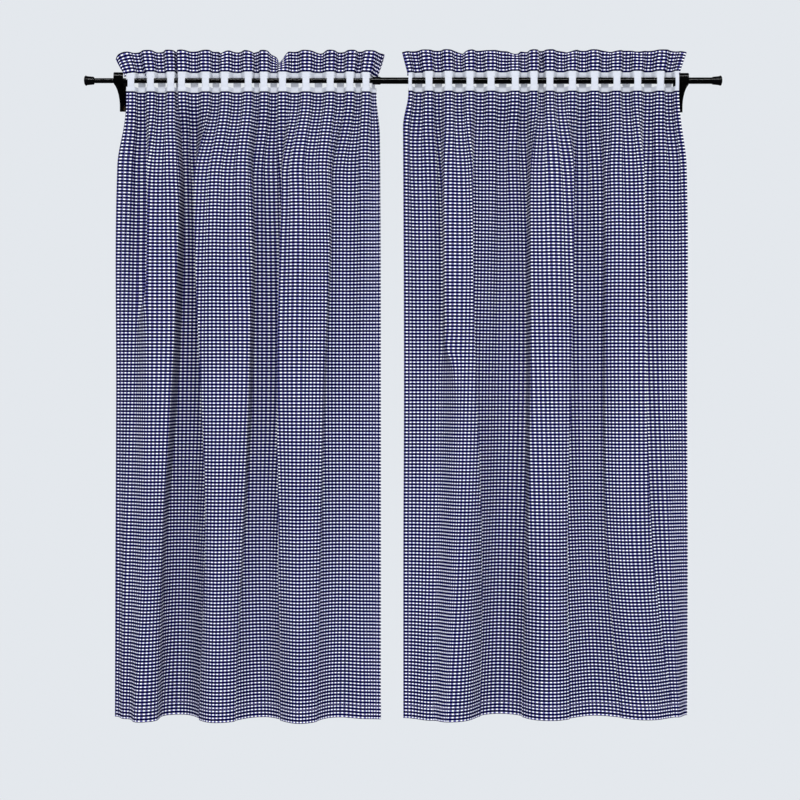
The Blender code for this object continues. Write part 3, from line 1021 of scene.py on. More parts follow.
        travelled = np.concatenate(([0.0], np.cumsum((speed[1:] + speed[:-1]) / 2.0)))
        at_folds = np.interp(flats, self.samples, travelled)
        return np.interp(travelled, at_folds, alongs), forward

    def drop_surface(self) -> ClothSurface:
        """Give the drop's surface.

        Returns:
            The surface, from behind the tape down to the hem.
        """
        top = TAPE_BOTTOM - self.tuck
        fine = np.linspace(top, FINE_DOWN_TO, 36)
        belows = np.concatenate([fine, np.linspace(FINE_DOWN_TO + 6.0, HEM_BOTTOM, 158)])
        tape_along, tape_forward = self.tape_line()
        stations = (0.0, self.end_zone, PANEL_WIDTH - self.end_zone, PANEL_WIDTH)
        release_start = np.interp(self.samples, stations, self.release_starts)
        release_end = np.interp(self.samples, stations, self.release_ends)
        lines = []
        for below in belows:
            along, forward = self.loose_line(max(below, LEVELS[0]))
            release = smooth_step((below - release_start) / (release_end - release_start))
            along = (1.0 - release) * tape_along + release * along
            share = (below - self.folds_start) / (self.folds_formed - self.folds_start)
            formed = smooth_step(np.array(share))
            forward = (1.0 - formed) * tape_forward + formed * forward
            lines.append(np.stack([along, forward, np.full_like(along, -below)], axis=1))
        return ClothSurface(self.samples, belows, np.array(lines))

    def tape_surface(self) -> ClothSurface:
        """Give the ladder tape's surface.

        Returns:
            The surface, from the upper strip's top edge to the lower strip's bottom edge.
        """
        along, forward = self.tape_line()
        belows = np.linspace(-STRIP_TOP, TAPE_BOTTOM, 30)
        lines = []
        for below in belows:
            sag = self.sag() * smooth_step(np.array(1.0 - below / SLOT_HEIGHT))
            lines.append(np.stack([along, forward, -below - sag], axis=1))
        return ClothSurface(self.samples, belows, np.array(lines))

    def sag(self) -> Array:
        """Give how far the upper strip sinks towards its ends.

        Returns:
            The depth at the flat samples.
        """
        from_right = PANEL_WIDTH - self.samples
        left = self.end_sag[0] * np.exp(-self.samples / self.sag_reach)
        return left + self.end_sag[1] * np.exp(-from_right / self.sag_reach)

    def heading_surface(self) -> ClothSurface:
        """Give the ruffle's middle surface.

        Returns:
            The surface, from its top edge down to behind the tape.
        """
        flat = self.samples
        tape_along, tape_forward = self.tape_line()
        from_right = PANEL_WIDTH - flat
        belows = np.linspace(-HEADING_TOP, -STRIP_TOP + self.tuck, 24)
        lines = []
        for below in belows:
            rise = max((-below - STRIP_TOP) / (HEADING_TOP - STRIP_TOP), 0.0)
            spread = self.flare_at_tape + (1.0 - self.flare_at_tape) * rise
            along = tape_along - self.flare[0] * np.exp(-flat / self.flare_reach) * spread
            along = along + self.flare[1] * np.exp(-from_right / self.flare_reach) * spread
            loose = smooth_step(np.array(rise))
            pleat = self.ruffle_pleat * bump_at(flat, self.pleat_flat, self.pleat_width)
            free = self.ruffle_wave * self.ripple(flat) - pleat
            forward = (1.0 - loose) * tape_forward + loose * free
            sunk = np.zeros_like(flat)
            for dip in self.dips:
                sunk += dip.drop * bump_at(flat, dip.flat, dip.half_width)
            sunk = sunk * rise**self.dip_power
            forward = forward - self.dip_lean * sunk
            slanted = (flat + self.pucker_slant * rise) / self.pucker_pitch
            drifting = (flat - self.drift_slant * rise) / self.drift_pitch
            puckers = np.sin(2.0 * math.pi * slanted)
            puckers = puckers * np.sin(2.0 * math.pi * drifting + self.pleat_flat)
            forward = forward + self.pucker * puckers * loose
            corner = self.corner_drop[0] * np.exp(-flat / self.corner_reach)
            corner = corner + self.corner_drop[1] * np.exp(-from_right / self.corner_reach)
            up = -below - rise * corner - (1.0 - rise) * self.sag() - sunk
            lines.append(np.stack([along, forward, up], axis=1))
        return ClothSurface(flat, belows, np.array(lines))

    def build_drop(self, cloth: bpy.types.Material, thread: bpy.types.Material) -> None:
        """Build the drop with its turned hems and their stitches.

        Args:
            cloth: The gingham.
            thread: The hems' thread.
        """
        surface = self.drop_surface()
        top = TAPE_BOTTOM - self.tuck
        inner = np.linspace(0.5, PANEL_WIDTH - 0.5, 346)
        columns = Turning.made(inner, 0.0, PANEL_WIDTH, self.side_hem)
        fine = np.linspace(top, FINE_DOWN_TO, 28)
        levels = np.concatenate([fine, np.linspace(FINE_DOWN_TO + 10.0, HEM_BOTTOM - 0.5, 82)])
        rows = Turning.made(levels, None, HEM_BOTTOM, self.bottom_hem)
        flats, belows = np.meshgrid(columns.flats, rows.flats)
        across, down = np.meshgrid(columns.turned, rows.turned)
        from_side = np.minimum(flats, PANEL_WIDTH - flats)
        over_side_hem = 1.0 - smooth_step((from_side - self.side_hem) / 5.0)
        gap = self.layer_gap
        face = -gap * across
        turned = -(1.0 - across) * gap * (1.0 + 2.0 * over_side_hem) - across * 2.0 * gap
        lift = face * (1.0 - down) + turned * down
        below_tape = smooth_step((belows - TAPE_BOTTOM + 0.9) / 12.0)
        lift -= self.behind_tape * (1.0 - below_tape)
        sheet = ThinSheet(
            f"{self.side.value}_drop",
            self.hanging.to_frame(surface.at(flats, belows, lift)),
            columns.cuts,
            rows.cuts - TAPE_BOTTOM,
            np.full(flats.shape, self.cloth_thickness),
        )
        piece = settle(sheet.build(cloth), Slot.GINGHAM, (f"drop_{self.side.value}",))

        run = StitchRun(f"{self.side.value}_hem_stitches")
        level = np.arange(4.0, PANEL_WIDTH - 3.0, self.stitch_pitch)
        upright = np.arange(30.0, HEM_BOTTOM - 4.0, self.stitch_pitch)
        run.sew(surface, level, HEM_BOTTOM - self.bottom_stitches, 0.2, False)
        for flat in (self.side_stitches, PANEL_WIDTH - self.side_stitches):
            run.sew(surface, flat, upright, 0.2, True)
        stitches = settle(run.build(self.hanging, thread), Slot.GINGHAM)
        float(np.ptp(columns.cuts)) * MM
        float(np.ptp(rows.cuts)) * MM

    def build_heading(self, cloth: bpy.types.Material) -> None:
        """Build the double ruffle over the tape.

        Args:
            cloth: The gingham.
        """
        surface = self.heading_surface()
        height = HEADING_TOP - STRIP_TOP + self.tuck
        run = np.concatenate([np.linspace(-height, -1.2, 17), [-0.7, -0.3, 0.0, 0.3, 0.7]])
        run = np.concatenate([run, np.linspace(1.2, height, 17)])
        flats, runs = np.meshgrid(np.linspace(0.0, PANEL_WIDTH, 400), run)
        belows = -HEADING_TOP + np.abs(runs) * (1.0 - np.exp(-np.abs(runs) / 0.5))
        share = np.abs(runs) / height
        unevenly = 0.6 + 0.4 * np.sin(flats / self.puff_pitch)
        puff = self.cloth_thickness + self.layer_puff * np.sin(math.pi * share) * unevenly
        lift = puff * np.sin(np.clip(runs / 0.8, -1.0, 1.0) * math.pi / 2.0)
        tucked = smooth_step((belows + STRIP_TOP + 5.0) / 6.0)
        lift = lift * (1.0 - 0.5 * tucked) - self.ruffle_behind_tape * tucked
        first_row = GinghamCotton().check_height / 2.0 - (HEADING_TOP - STRIP_TOP)
        sheet = ThinSheet(
            f"{self.side.value}_ruffle",
            self.hanging.to_frame(surface.at(flats, belows, lift)),
            flats[0],
            run + first_row,
            np.full(flats.shape, self.cloth_thickness),
        )
        piece = settle(sheet.build(cloth), Slot.GINGHAM, (f"heading_{self.side.value}",))

    def build_tape(self, webbing: bpy.types.Material, thread: bpy.types.Material) -> None:
        """Build the ladder tape, its bars passing before and behind the rod in turn.

        Args:
            webbing: The tape's finish.
            thread: Its stitches' finish.
        """
        surface = self.tape_surface()
        count = int(PANEL_WIDTH / BAR_WIDTH)
        middles = [BAR_WIDTH * (index + 0.5) for index in range(count)]
        edges = np.array([0.0, *middles, PANEL_WIDTH])
        inside = np.array([0.0, 0.06, 0.16, 0.33, 0.5, 0.67, 0.84, 0.94])
        columns = np.concatenate([a + (b - a) * inside for a, b in zip(edges, edges[1:])])
        columns = np.append(columns, PANEL_WIDTH)
        cell = np.arange(len(columns) - 1) // len(inside)
        upper = np.array([-STRIP_TOP, -9.1, -8.0, -6.0, -4.0, -2.0, -0.6])
        middle = np.array([0.0, 0.8, 2.4, 4.6, 6.9, 9.3, 11.6, 13.8, 15.4])
        lower = np.array([SLOT_HEIGHT, 16.9, 18.4, 20.3, 22.3, 23.4, TAPE_BOTTOM])
        rows = np.concatenate([upper, middle, lower])
        flats, belows = np.meshgrid(columns, rows)
        slot_cells = (cell % 2 == 0) == (self.first_front_flat > 0.0)
        between = (rows[:-1] >= 0.0) & (rows[:-1] < SLOT_HEIGHT)
        kept = ~(between[:, None] & slot_cells[None, :])

        down_slot = np.clip(belows / SLOT_HEIGHT, 0.0, 1.0)
        in_slot = 4.0 * down_slot * (1.0 - down_slot)
        nearest = np.rint((columns - self.first_front_flat) / (TAPE_WAVE / 2.0))
        bar_middle = self.first_front_flat + nearest * TAPE_WAVE / 2.0
        is_front = nearest % 2 == 0
        waist = np.where(is_front, self.front_waist, self.back_waist) * in_slot**0.7
        narrowed = bar_middle + (columns - bar_middle) * (1.0 - waist)
        on_bar = np.abs(columns - bar_middle) <= BAR_WIDTH / 2.0 + 0.01
        bar_flats = np.where(on_bar, narrowed, flats)
        bow = np.where(is_front, self.front_bow, self.back_bow) * in_slot

        to_strip_edge = np.minimum(np.abs(belows + STRIP_TOP), np.abs(belows - TAPE_BOTTOM))
        to_slot_edge = np.minimum(np.abs(belows), np.abs(belows - SLOT_HEIGHT))
        to_bar_edge = np.abs(np.abs(columns - bar_middle) - BAR_WIDTH / 2.0)[None, :]
        in_bar = (belows > 0.0) & (belows < SLOT_HEIGHT)
        over_slot = np.abs(columns - bar_middle)[None, :] > BAR_WIDTH / 2.0 - 0.01
        to_edge = np.where(in_bar, to_bar_edge, to_strip_edge)
        to_edge = np.where(~in_bar & over_slot, np.minimum(to_edge, to_slot_edge), to_edge)
        softness = np.sqrt(np.clip(to_edge / self.edge_rounding, 0.0, 1.0))
        thickness = self.tape_thickness * (self.thin_edge + (1.0 - self.thin_edge) * softness)
        sheet = ThinSheet(
            f"{self.side.value}_ladder_tape",
            self.hanging.to_frame(surface.at(bar_flats, belows, bow)),
            columns,
            rows,
            thickness,
            kept,
        )
        piece = settle(sheet.build(webbing), Slot.TAPE, (f"tape_{self.side.value}",))
        run = StitchRun(f"{self.side.value}_tape_stitches", radius=0.27)
        for below in (-STRIP_TOP + 1.5, TAPE_BOTTOM - 1.5):
            run.sew(surface, np.arange(2.0, PANEL_WIDTH - 1.0, 3.2), below, 0.47, False)
        stitches = settle(run.build(self.hanging, thread), Slot.TAPE)


@dataclass
class Lathe:
    """Turns outlines into round pieces on the rod's axis or on a screw's."""

    steps: int = 64

    def turn(
        self,
        name: str,
        outline: list,
        place: Callable[[Array, Array, Array], Array],
        material: bpy.types.Material,
        closed: bool = False,
    ) -> bpy.types.Object:
        """Turn an outline.

        Args:
            name: The piece's name.
            outline: Pairs of radius and height, in millimetres.
            place: Gives frame coordinates in millimetres for two radial axes and the height.
            material: The piece's finish.
            closed: Whether the outline's end joins its start.

        Returns:
            The turned piece.
        """
        angles = np.arange(self.steps) * 2.0 * math.pi / self.steps
        points, rings = [], []
        for radius, height in outline:
            first = sum(len(part) for part in points)
            if radius > 0.0:
                a, b = radius * np.cos(angles), radius * np.sin(angles)
                points.append(place(a, b, np.full(self.steps, height)))
                rings.append([first + step for step in range(self.steps)])
            else:
                points.append(place(np.zeros(1), np.zeros(1), np.full(1, height)))
                rings.append([first] * self.steps)
        pairs = list(zip(rings, rings[1:]))
        if closed:
            pairs.append((rings[-1], rings[0]))
        faces = []
        for low, high in pairs:
            for step in range(self.steps):
                after = (step + 1) % self.steps
                corners = (low[step], low[after], high[after], high[step])
                faces.append(tuple(dict.fromkeys(corners)))
        piece = mesh_of(name, np.concatenate(points) * MM, faces, material)
        face_outward(piece)
        piece.data.set_sharp_from_angle(angle=math.radians(40.0))
        return piece


def on_rod(start: float, direction: float) -> Callable[[Array, Array, Array], Array]:
    """Give the placing of a piece on the rod's axis.

    Args:
        start: Where the piece's height 0 is along the rod.
        direction: 1 when its height runs to the right, -1 to the left.

    Returns:
        The placing.
    """

    def place(a: Array, b: Array, height: Array) -> Array:
        """Place points of the lathe along the rod."""
        return np.stack([start + direction * height, a - ROD_OUT, b], axis=-1)

    return place


@dataclass
class TelescopicRod:
    """Two tubes that slide in each other, with a collar between and a cap on each end."""

    left_end: float = -59.4
    right_end: float = 1032.4
    inner_radius: float = 4.25
    outer_radius: float = 5.45
    wall: float = 0.8
    overlap: float = 150.0
    collar_start: float = 434.0
    collar_length: float = 14.2
    collar_radius: float = 6.7
    cap_length: float = 16.8
    socket_depth: float = 12.0
    fit_gap: float = 0.3

    def tube_outline(self, radius: float, length: float) -> list:
        """Give a tube's outline with softened ends.

        Args:
            radius: Its outer radius.
            length: Its length.

        Returns:
            Pairs of radius and height, from the bore round to the outside.
        """
        bore = radius - self.wall
        return [
            *((bore, length), (bore, 0.0), (radius - 0.2, 0.0), (radius, 0.3), (radius, 1.0)),
            *((radius, length - 1.0), (radius, length - 0.3), (radius - 0.2, length)),
        ]

    def build(self, enamel: bpy.types.Material, moulded: bpy.types.Material) -> None:
        """Build the tubes and caps.

        Args:
            enamel: The tubes' finish.
            moulded: The collar's and caps' finish.
        """
        lathe = Lathe()
        left = self.left_end + self.cap_length - self.socket_depth + self.fit_gap
        right = self.right_end - self.cap_length + self.socket_depth - self.fit_gap
        length = self.collar_start + self.overlap - left
        outline = self.tube_outline(self.inner_radius, length)
        narrow = lathe.turn("narrow_tube", outline, on_rod(left, 1.0), enamel, closed=True)
        settle(narrow, Slot.ROD, ("rod_inner_tube",))

        inner = self.outer_radius - self.wall
        tube = (self.outer_radius, self.collar_length)
        rim, end = self.collar_radius, self.collar_length
        outline = [
            *((inner, right - self.collar_start), (inner, 0.0), (rim - 1.0, 0.0), (rim - 0.3, 0.3)),
            *((rim, 0.9), (rim, 3.0), (rim - 0.25, 3.4), (rim - 0.25, 4.0), (rim, 4.4)),
            *((rim, end - 1.4), (rim - 0.3, end - 0.6)),
            *((self.outer_radius + 0.25, end - 0.2), tube),
            (self.outer_radius, self.collar_length + 0.7),
            (self.outer_radius, right - self.collar_start - 1.0),
            (self.outer_radius, right - self.collar_start - 0.3),
            (self.outer_radius - 0.2, right - self.collar_start),
        ]
        wide = lathe.turn("wide_tube", outline, on_rod(self.collar_start, 1.0), enamel, closed=True)
        settle(wide, Slot.ROD, ("rod_outer_tube",))
        self.build_cap(lathe, Side.LEFT, self.inner_radius, moulded)
        self.build_cap(lathe, Side.RIGHT, self.outer_radius, moulded)

    def build_cap(self, lathe: Lathe, side: Side, tube: float, moulded: bpy.types.Material) -> None:
        """Build a flared end cap.

        Args:
            lathe: Turns the outline.
            side: The rod's end.
            tube: The radius of the tube in the cap.
            moulded: The cap's finish.
        """
        length, rim, mouth = self.cap_length, 8.6, 6.7
        socket = tube + self.fit_gap
        outline = [
            *((0.0, length), (3.0, length - 0.12), (5.4, length - 0.5), (6.9, length - 1.0)),
            *((7.9, length - 1.7), (8.4, length - 2.4), (rim, length - 3.1)),
            *((rim - 0.1, length - 3.7), (8.1, length - 4.2), (7.75, length - 4.9)),
            *((7.55, length - 5.8), (7.3, 8.5), (7.0, 5.0)),
            *((mouth, 1.2), (mouth - 0.25, 0.5), (mouth - 0.7, 0.0), (socket, 0.0)),
            *((socket, self.socket_depth), (0.0, self.socket_depth)),
        ]
        if side is Side.LEFT:
            place = on_rod(self.left_end + length, -1.0)
        else:
            place = on_rod(self.right_end - length, 1.0)
        cap = lathe.turn(f"{side.value}_cap", outline, place, moulded)
        settle(cap, Slot.CAP, (f"end_cap_{side.value}",))


def arc(centre: tuple, radii: tuple, start: float, end: float, steps: int = 20) -> list:
    """Give points of an elliptical arc.

    Args:
        centre: The arc's centre.
        radii: Its two radii.
        start: Its first angle in degrees.
        end: Its last one.
        steps: How many pieces it has.

    Returns:
        The points, both ends included.
    """
    angles = np.radians(np.linspace(start, end, steps + 1))
    alongs = centre[0] + radii[0] * np.cos(angles)
    ups = centre[1] + radii[1] * np.sin(angles)
    return list(zip(alongs.tolist(), ups.tolist()))


@dataclass
class WallBracket:
    """A hooked bracket with its plate, and the screw in the plate's foot."""

    side: Side
    along: float
    tube_radius: float
    width: float = 16.5
    plate: float = 2.5
    plate_top: float = 18.0
    plate_bottom: float = -38.7
    cup_radius: float = 5.8
    cup_wall: float = 2.0
    cup_top: float = 11.0
    cup_back: float = 5.0
    arm_top: float = 3.0
    arch_foot: float = -30.0
    tube_gap: float = 0.3
    edge_radius: float = 0.55
    screw_above_foot: float = 5.8
    hole_radius: float = 2.2
    cross_sizes: tuple = (2.1, 0.75)
    cross_depth: float = 1.2
    cross_taper: float = 0.35

    def outline(self) -> list:
        """Give the side view, forward from the plate's back and up from the tube's seat.

        Returns:
            The corners in order.
        """
        outer = self.cup_radius + self.cup_wall
        low, high = (ROD_OUT, self.cup_radius), (ROD_OUT, self.cup_top)
        arch_radii = (ROD_OUT - self.plate, -self.cup_wall - self.arch_foot)
        points = [(0.0, self.plate_bottom), (self.plate, self.plate_bottom)]
        points += arc((ROD_OUT, self.arch_foot), arch_radii, 180.0, 90.0)
        points += arc(low, (outer, outer), -90.0, 0.0)[1:]
        points += arc(high, (outer, outer), 0.0, 90.0)
        points += arc(high, (self.cup_radius, self.cup_radius), 90.0, 0.0)
        points += arc(low, (self.cup_radius, self.cup_radius), 0.0, -180.0)[:-1]
        points += [
            (ROD_OUT - self.cup_radius, self.cup_back),
            (ROD_OUT - outer, self.cup_back),
            (ROD_OUT - outer - 2.0, self.arm_top),
            (self.plate, self.arm_top),
            (self.plate, self.plate_top),
            (0.0, self.plate_top),
        ]
        return points

    def build(self, enamel: bpy.types.Material, brass: bpy.types.Material) -> None:
        """Build the bracket and its screw.

        Args:
            enamel: The bracket's finish.
            brass: The screw's finish.
        """
        seat = -self.tube_radius - self.tube_gap
        outline = np.array(self.outline())
        count = len(outline)
        points = []
        for offset in (-self.width / 2.0, self.width / 2.0):
            x = np.full(count, self.along + offset)
            points.append(np.stack([x, -outline[:, 0], seat + outline[:, 1]], axis=1))
        faces = [tuple(range(count)), tuple(range(2 * count - 1, count - 1, -1))]
        for index in range(count):
            after = (index + 1) % count
            faces.append((index, index + count, after + count, after))
        bracket = mesh_of(f"{self.side.value}_bracket", np.concatenate(points) * MM, faces, enamel)
        face_outward(bracket)
        screw_up = seat + self.plate_bottom + self.screw_above_foot
        self.cut(bracket, self.screw_hole(screw_up))
        bevel = bracket.modifiers.new("eased edges", "BEVEL")
        bevel.width = self.edge_radius * MM
        bevel.segments = 3
        bevel.limit_method = "ANGLE"
        bevel.angle_limit = math.radians(35.0)
        bracket.data.set_sharp_from_angle(angle=math.radians(35.0))
        settle(bracket, Slot.ROD, (f"bracket_{self.side.value}",))
        self.build_screw(screw_up, brass)

    def slot_cutter(self, long: float, wide: float, out: float, up: float) -> bpy.types.Object:
        """Make the cutter of one slot of the cross.

        Args:
            long: Half its size along the rod.
            wide: Half its height.
            out: The distance of its middle from the plate's back.
            up: The height of its middle.

        Returns:
            The cutter, narrower towards the plate.
        """
        edit = bmesh.new()
        for vert in bmesh.ops.create_cube(edit, size=2.0)["verts"]:
            narrow = self.cross_taper if vert.co.y > 0.0 else 1.0
            place = (self.along + vert.co.x * long * narrow, -out + vert.co.y * self.cross_depth)
            vert.co = Vector((*place, up + vert.co.z * wide * narrow)) * MM
        bmesh.ops.recalc_face_normals(edit, faces=edit.faces)
        shape = bpy.data.meshes.new("slot")
        edit.to_mesh(shape)
        edit.free()
        cutter = bpy.data.objects.new("slot", shape)
        bpy.context.scene.collection.objects.link(cutter)
        return cutter

    def on_plate(self, up: float) -> Callable[[Array, Array, Array], Array]:
        """Give the placing of a piece that points out of the plate."""
        return lambda a, b, height: np.stack([self.along + a, -height, up + b], axis=-1)

    def screw_hole(self, up: float) -> bpy.types.Object:
        """Make the cutter of the screw's hole.

        Args:
            up: The height of its axis.

        Returns:
            The cutter.
        """
        radius = self.hole_radius
        outline = [(0.0, -5.0), (radius, -5.0), (radius, 10.0), (0.0, 10.0)]
        name = f"{self.side.value}_hole"
        return Lathe(steps=32).turn(name, outline, self.on_plate(up), self.spare())

    def spare(self) -> bpy.types.Material:
        """Give a plain material for a cutter."""
        return bpy.data.materials.get("cutter") or bpy.data.materials.new("cutter")

    def cut(self, piece: bpy.types.Object, cutter: bpy.types.Object) -> None:
        """Cut a piece by another and remove the cutter.

        Args:
            piece: What is cut.
            cutter: What cuts it.
        """
        tool = piece.modifiers.new("cut", "BOOLEAN")
        tool.operation = "DIFFERENCE"
        tool.solver = "EXACT"
        tool.object = cutter
        graph = bpy.context.evaluated_depsgraph_get()
        cut = bpy.data.meshes.new_from_object(piece.evaluated_get(graph))
        piece.modifiers.clear()
        while len(cut.materials) > 1:
            cut.materials.pop()
        piece.data = cut
        cut.shade_smooth()
        bpy.data.objects.remove(cutter, do_unlink=True)

    def build_screw(self, up: float, brass: bpy.types.Material) -> None:
        """Build the screw with the cross in its head.

        Args:
            up: The height of its axis.
            brass: Its finish.
        """
        base = self.plate + 0.3
        outline = [
            *((0.0, base + 2.2), (1.3, base + 2.12), (2.3, base + 1.85), (3.1, base + 1.35)),
            *((3.5, base + 0.85), (3.6, base + 0.5), (3.6, base + 0.12), (3.5, base)),
            *((1.9, base), (1.9, 0.3), (0.0, 0.3)),
        ]
        screw = Lathe(steps=48).turn(f"{self.side.value}_screw", outline, self.on_plate(up), brass)
        for long, wide in (self.cross_sizes, self.cross_sizes[::-1]):
            self.cut(screw, self.slot_cutter(long, wide, base + 1.6, up))
        screw.data.set_sharp_from_angle(angle=math.radians(35.0))
        settle(screw, Slot.SCREW, (f"wall_screw_{self.side.value}",))


@dataclass(frozen=True)
class Softbox:
    """A rectangular studio light.

    Attributes:
        name: The light's name.
        place: Where it stands, in metres.
        size: Its width and height, in metres.
        power: Its power, in watts.
        for_gloss: Whether it shows in glossy surfaces and only there.
    """

    name: str
    place: tuple
    size: tuple
    power: float
    for_gloss: bool = False

    def build(self, target: tuple) -> None:
        """Build the light.

        Args:
            target: The point that it is aimed at, in metres.
        """
        light = bpy.data.lights.new(self.name, "AREA")
        light.shape = "RECTANGLE"
        light.size, light.size_y = self.size
        light.energy = self.power
        holder = bpy.data.objects.new(self.name, light)
        holder.location = self.place
        holder.visible_glossy = self.for_gloss
        holder.visible_diffuse = not self.for_gloss
        aim = Vector(target) - Vector(self.place)
        holder.rotation_euler = aim.to_track_quat("-Z", "Y").to_euler()
        bpy.context.scene.collection.objects.link(holder)


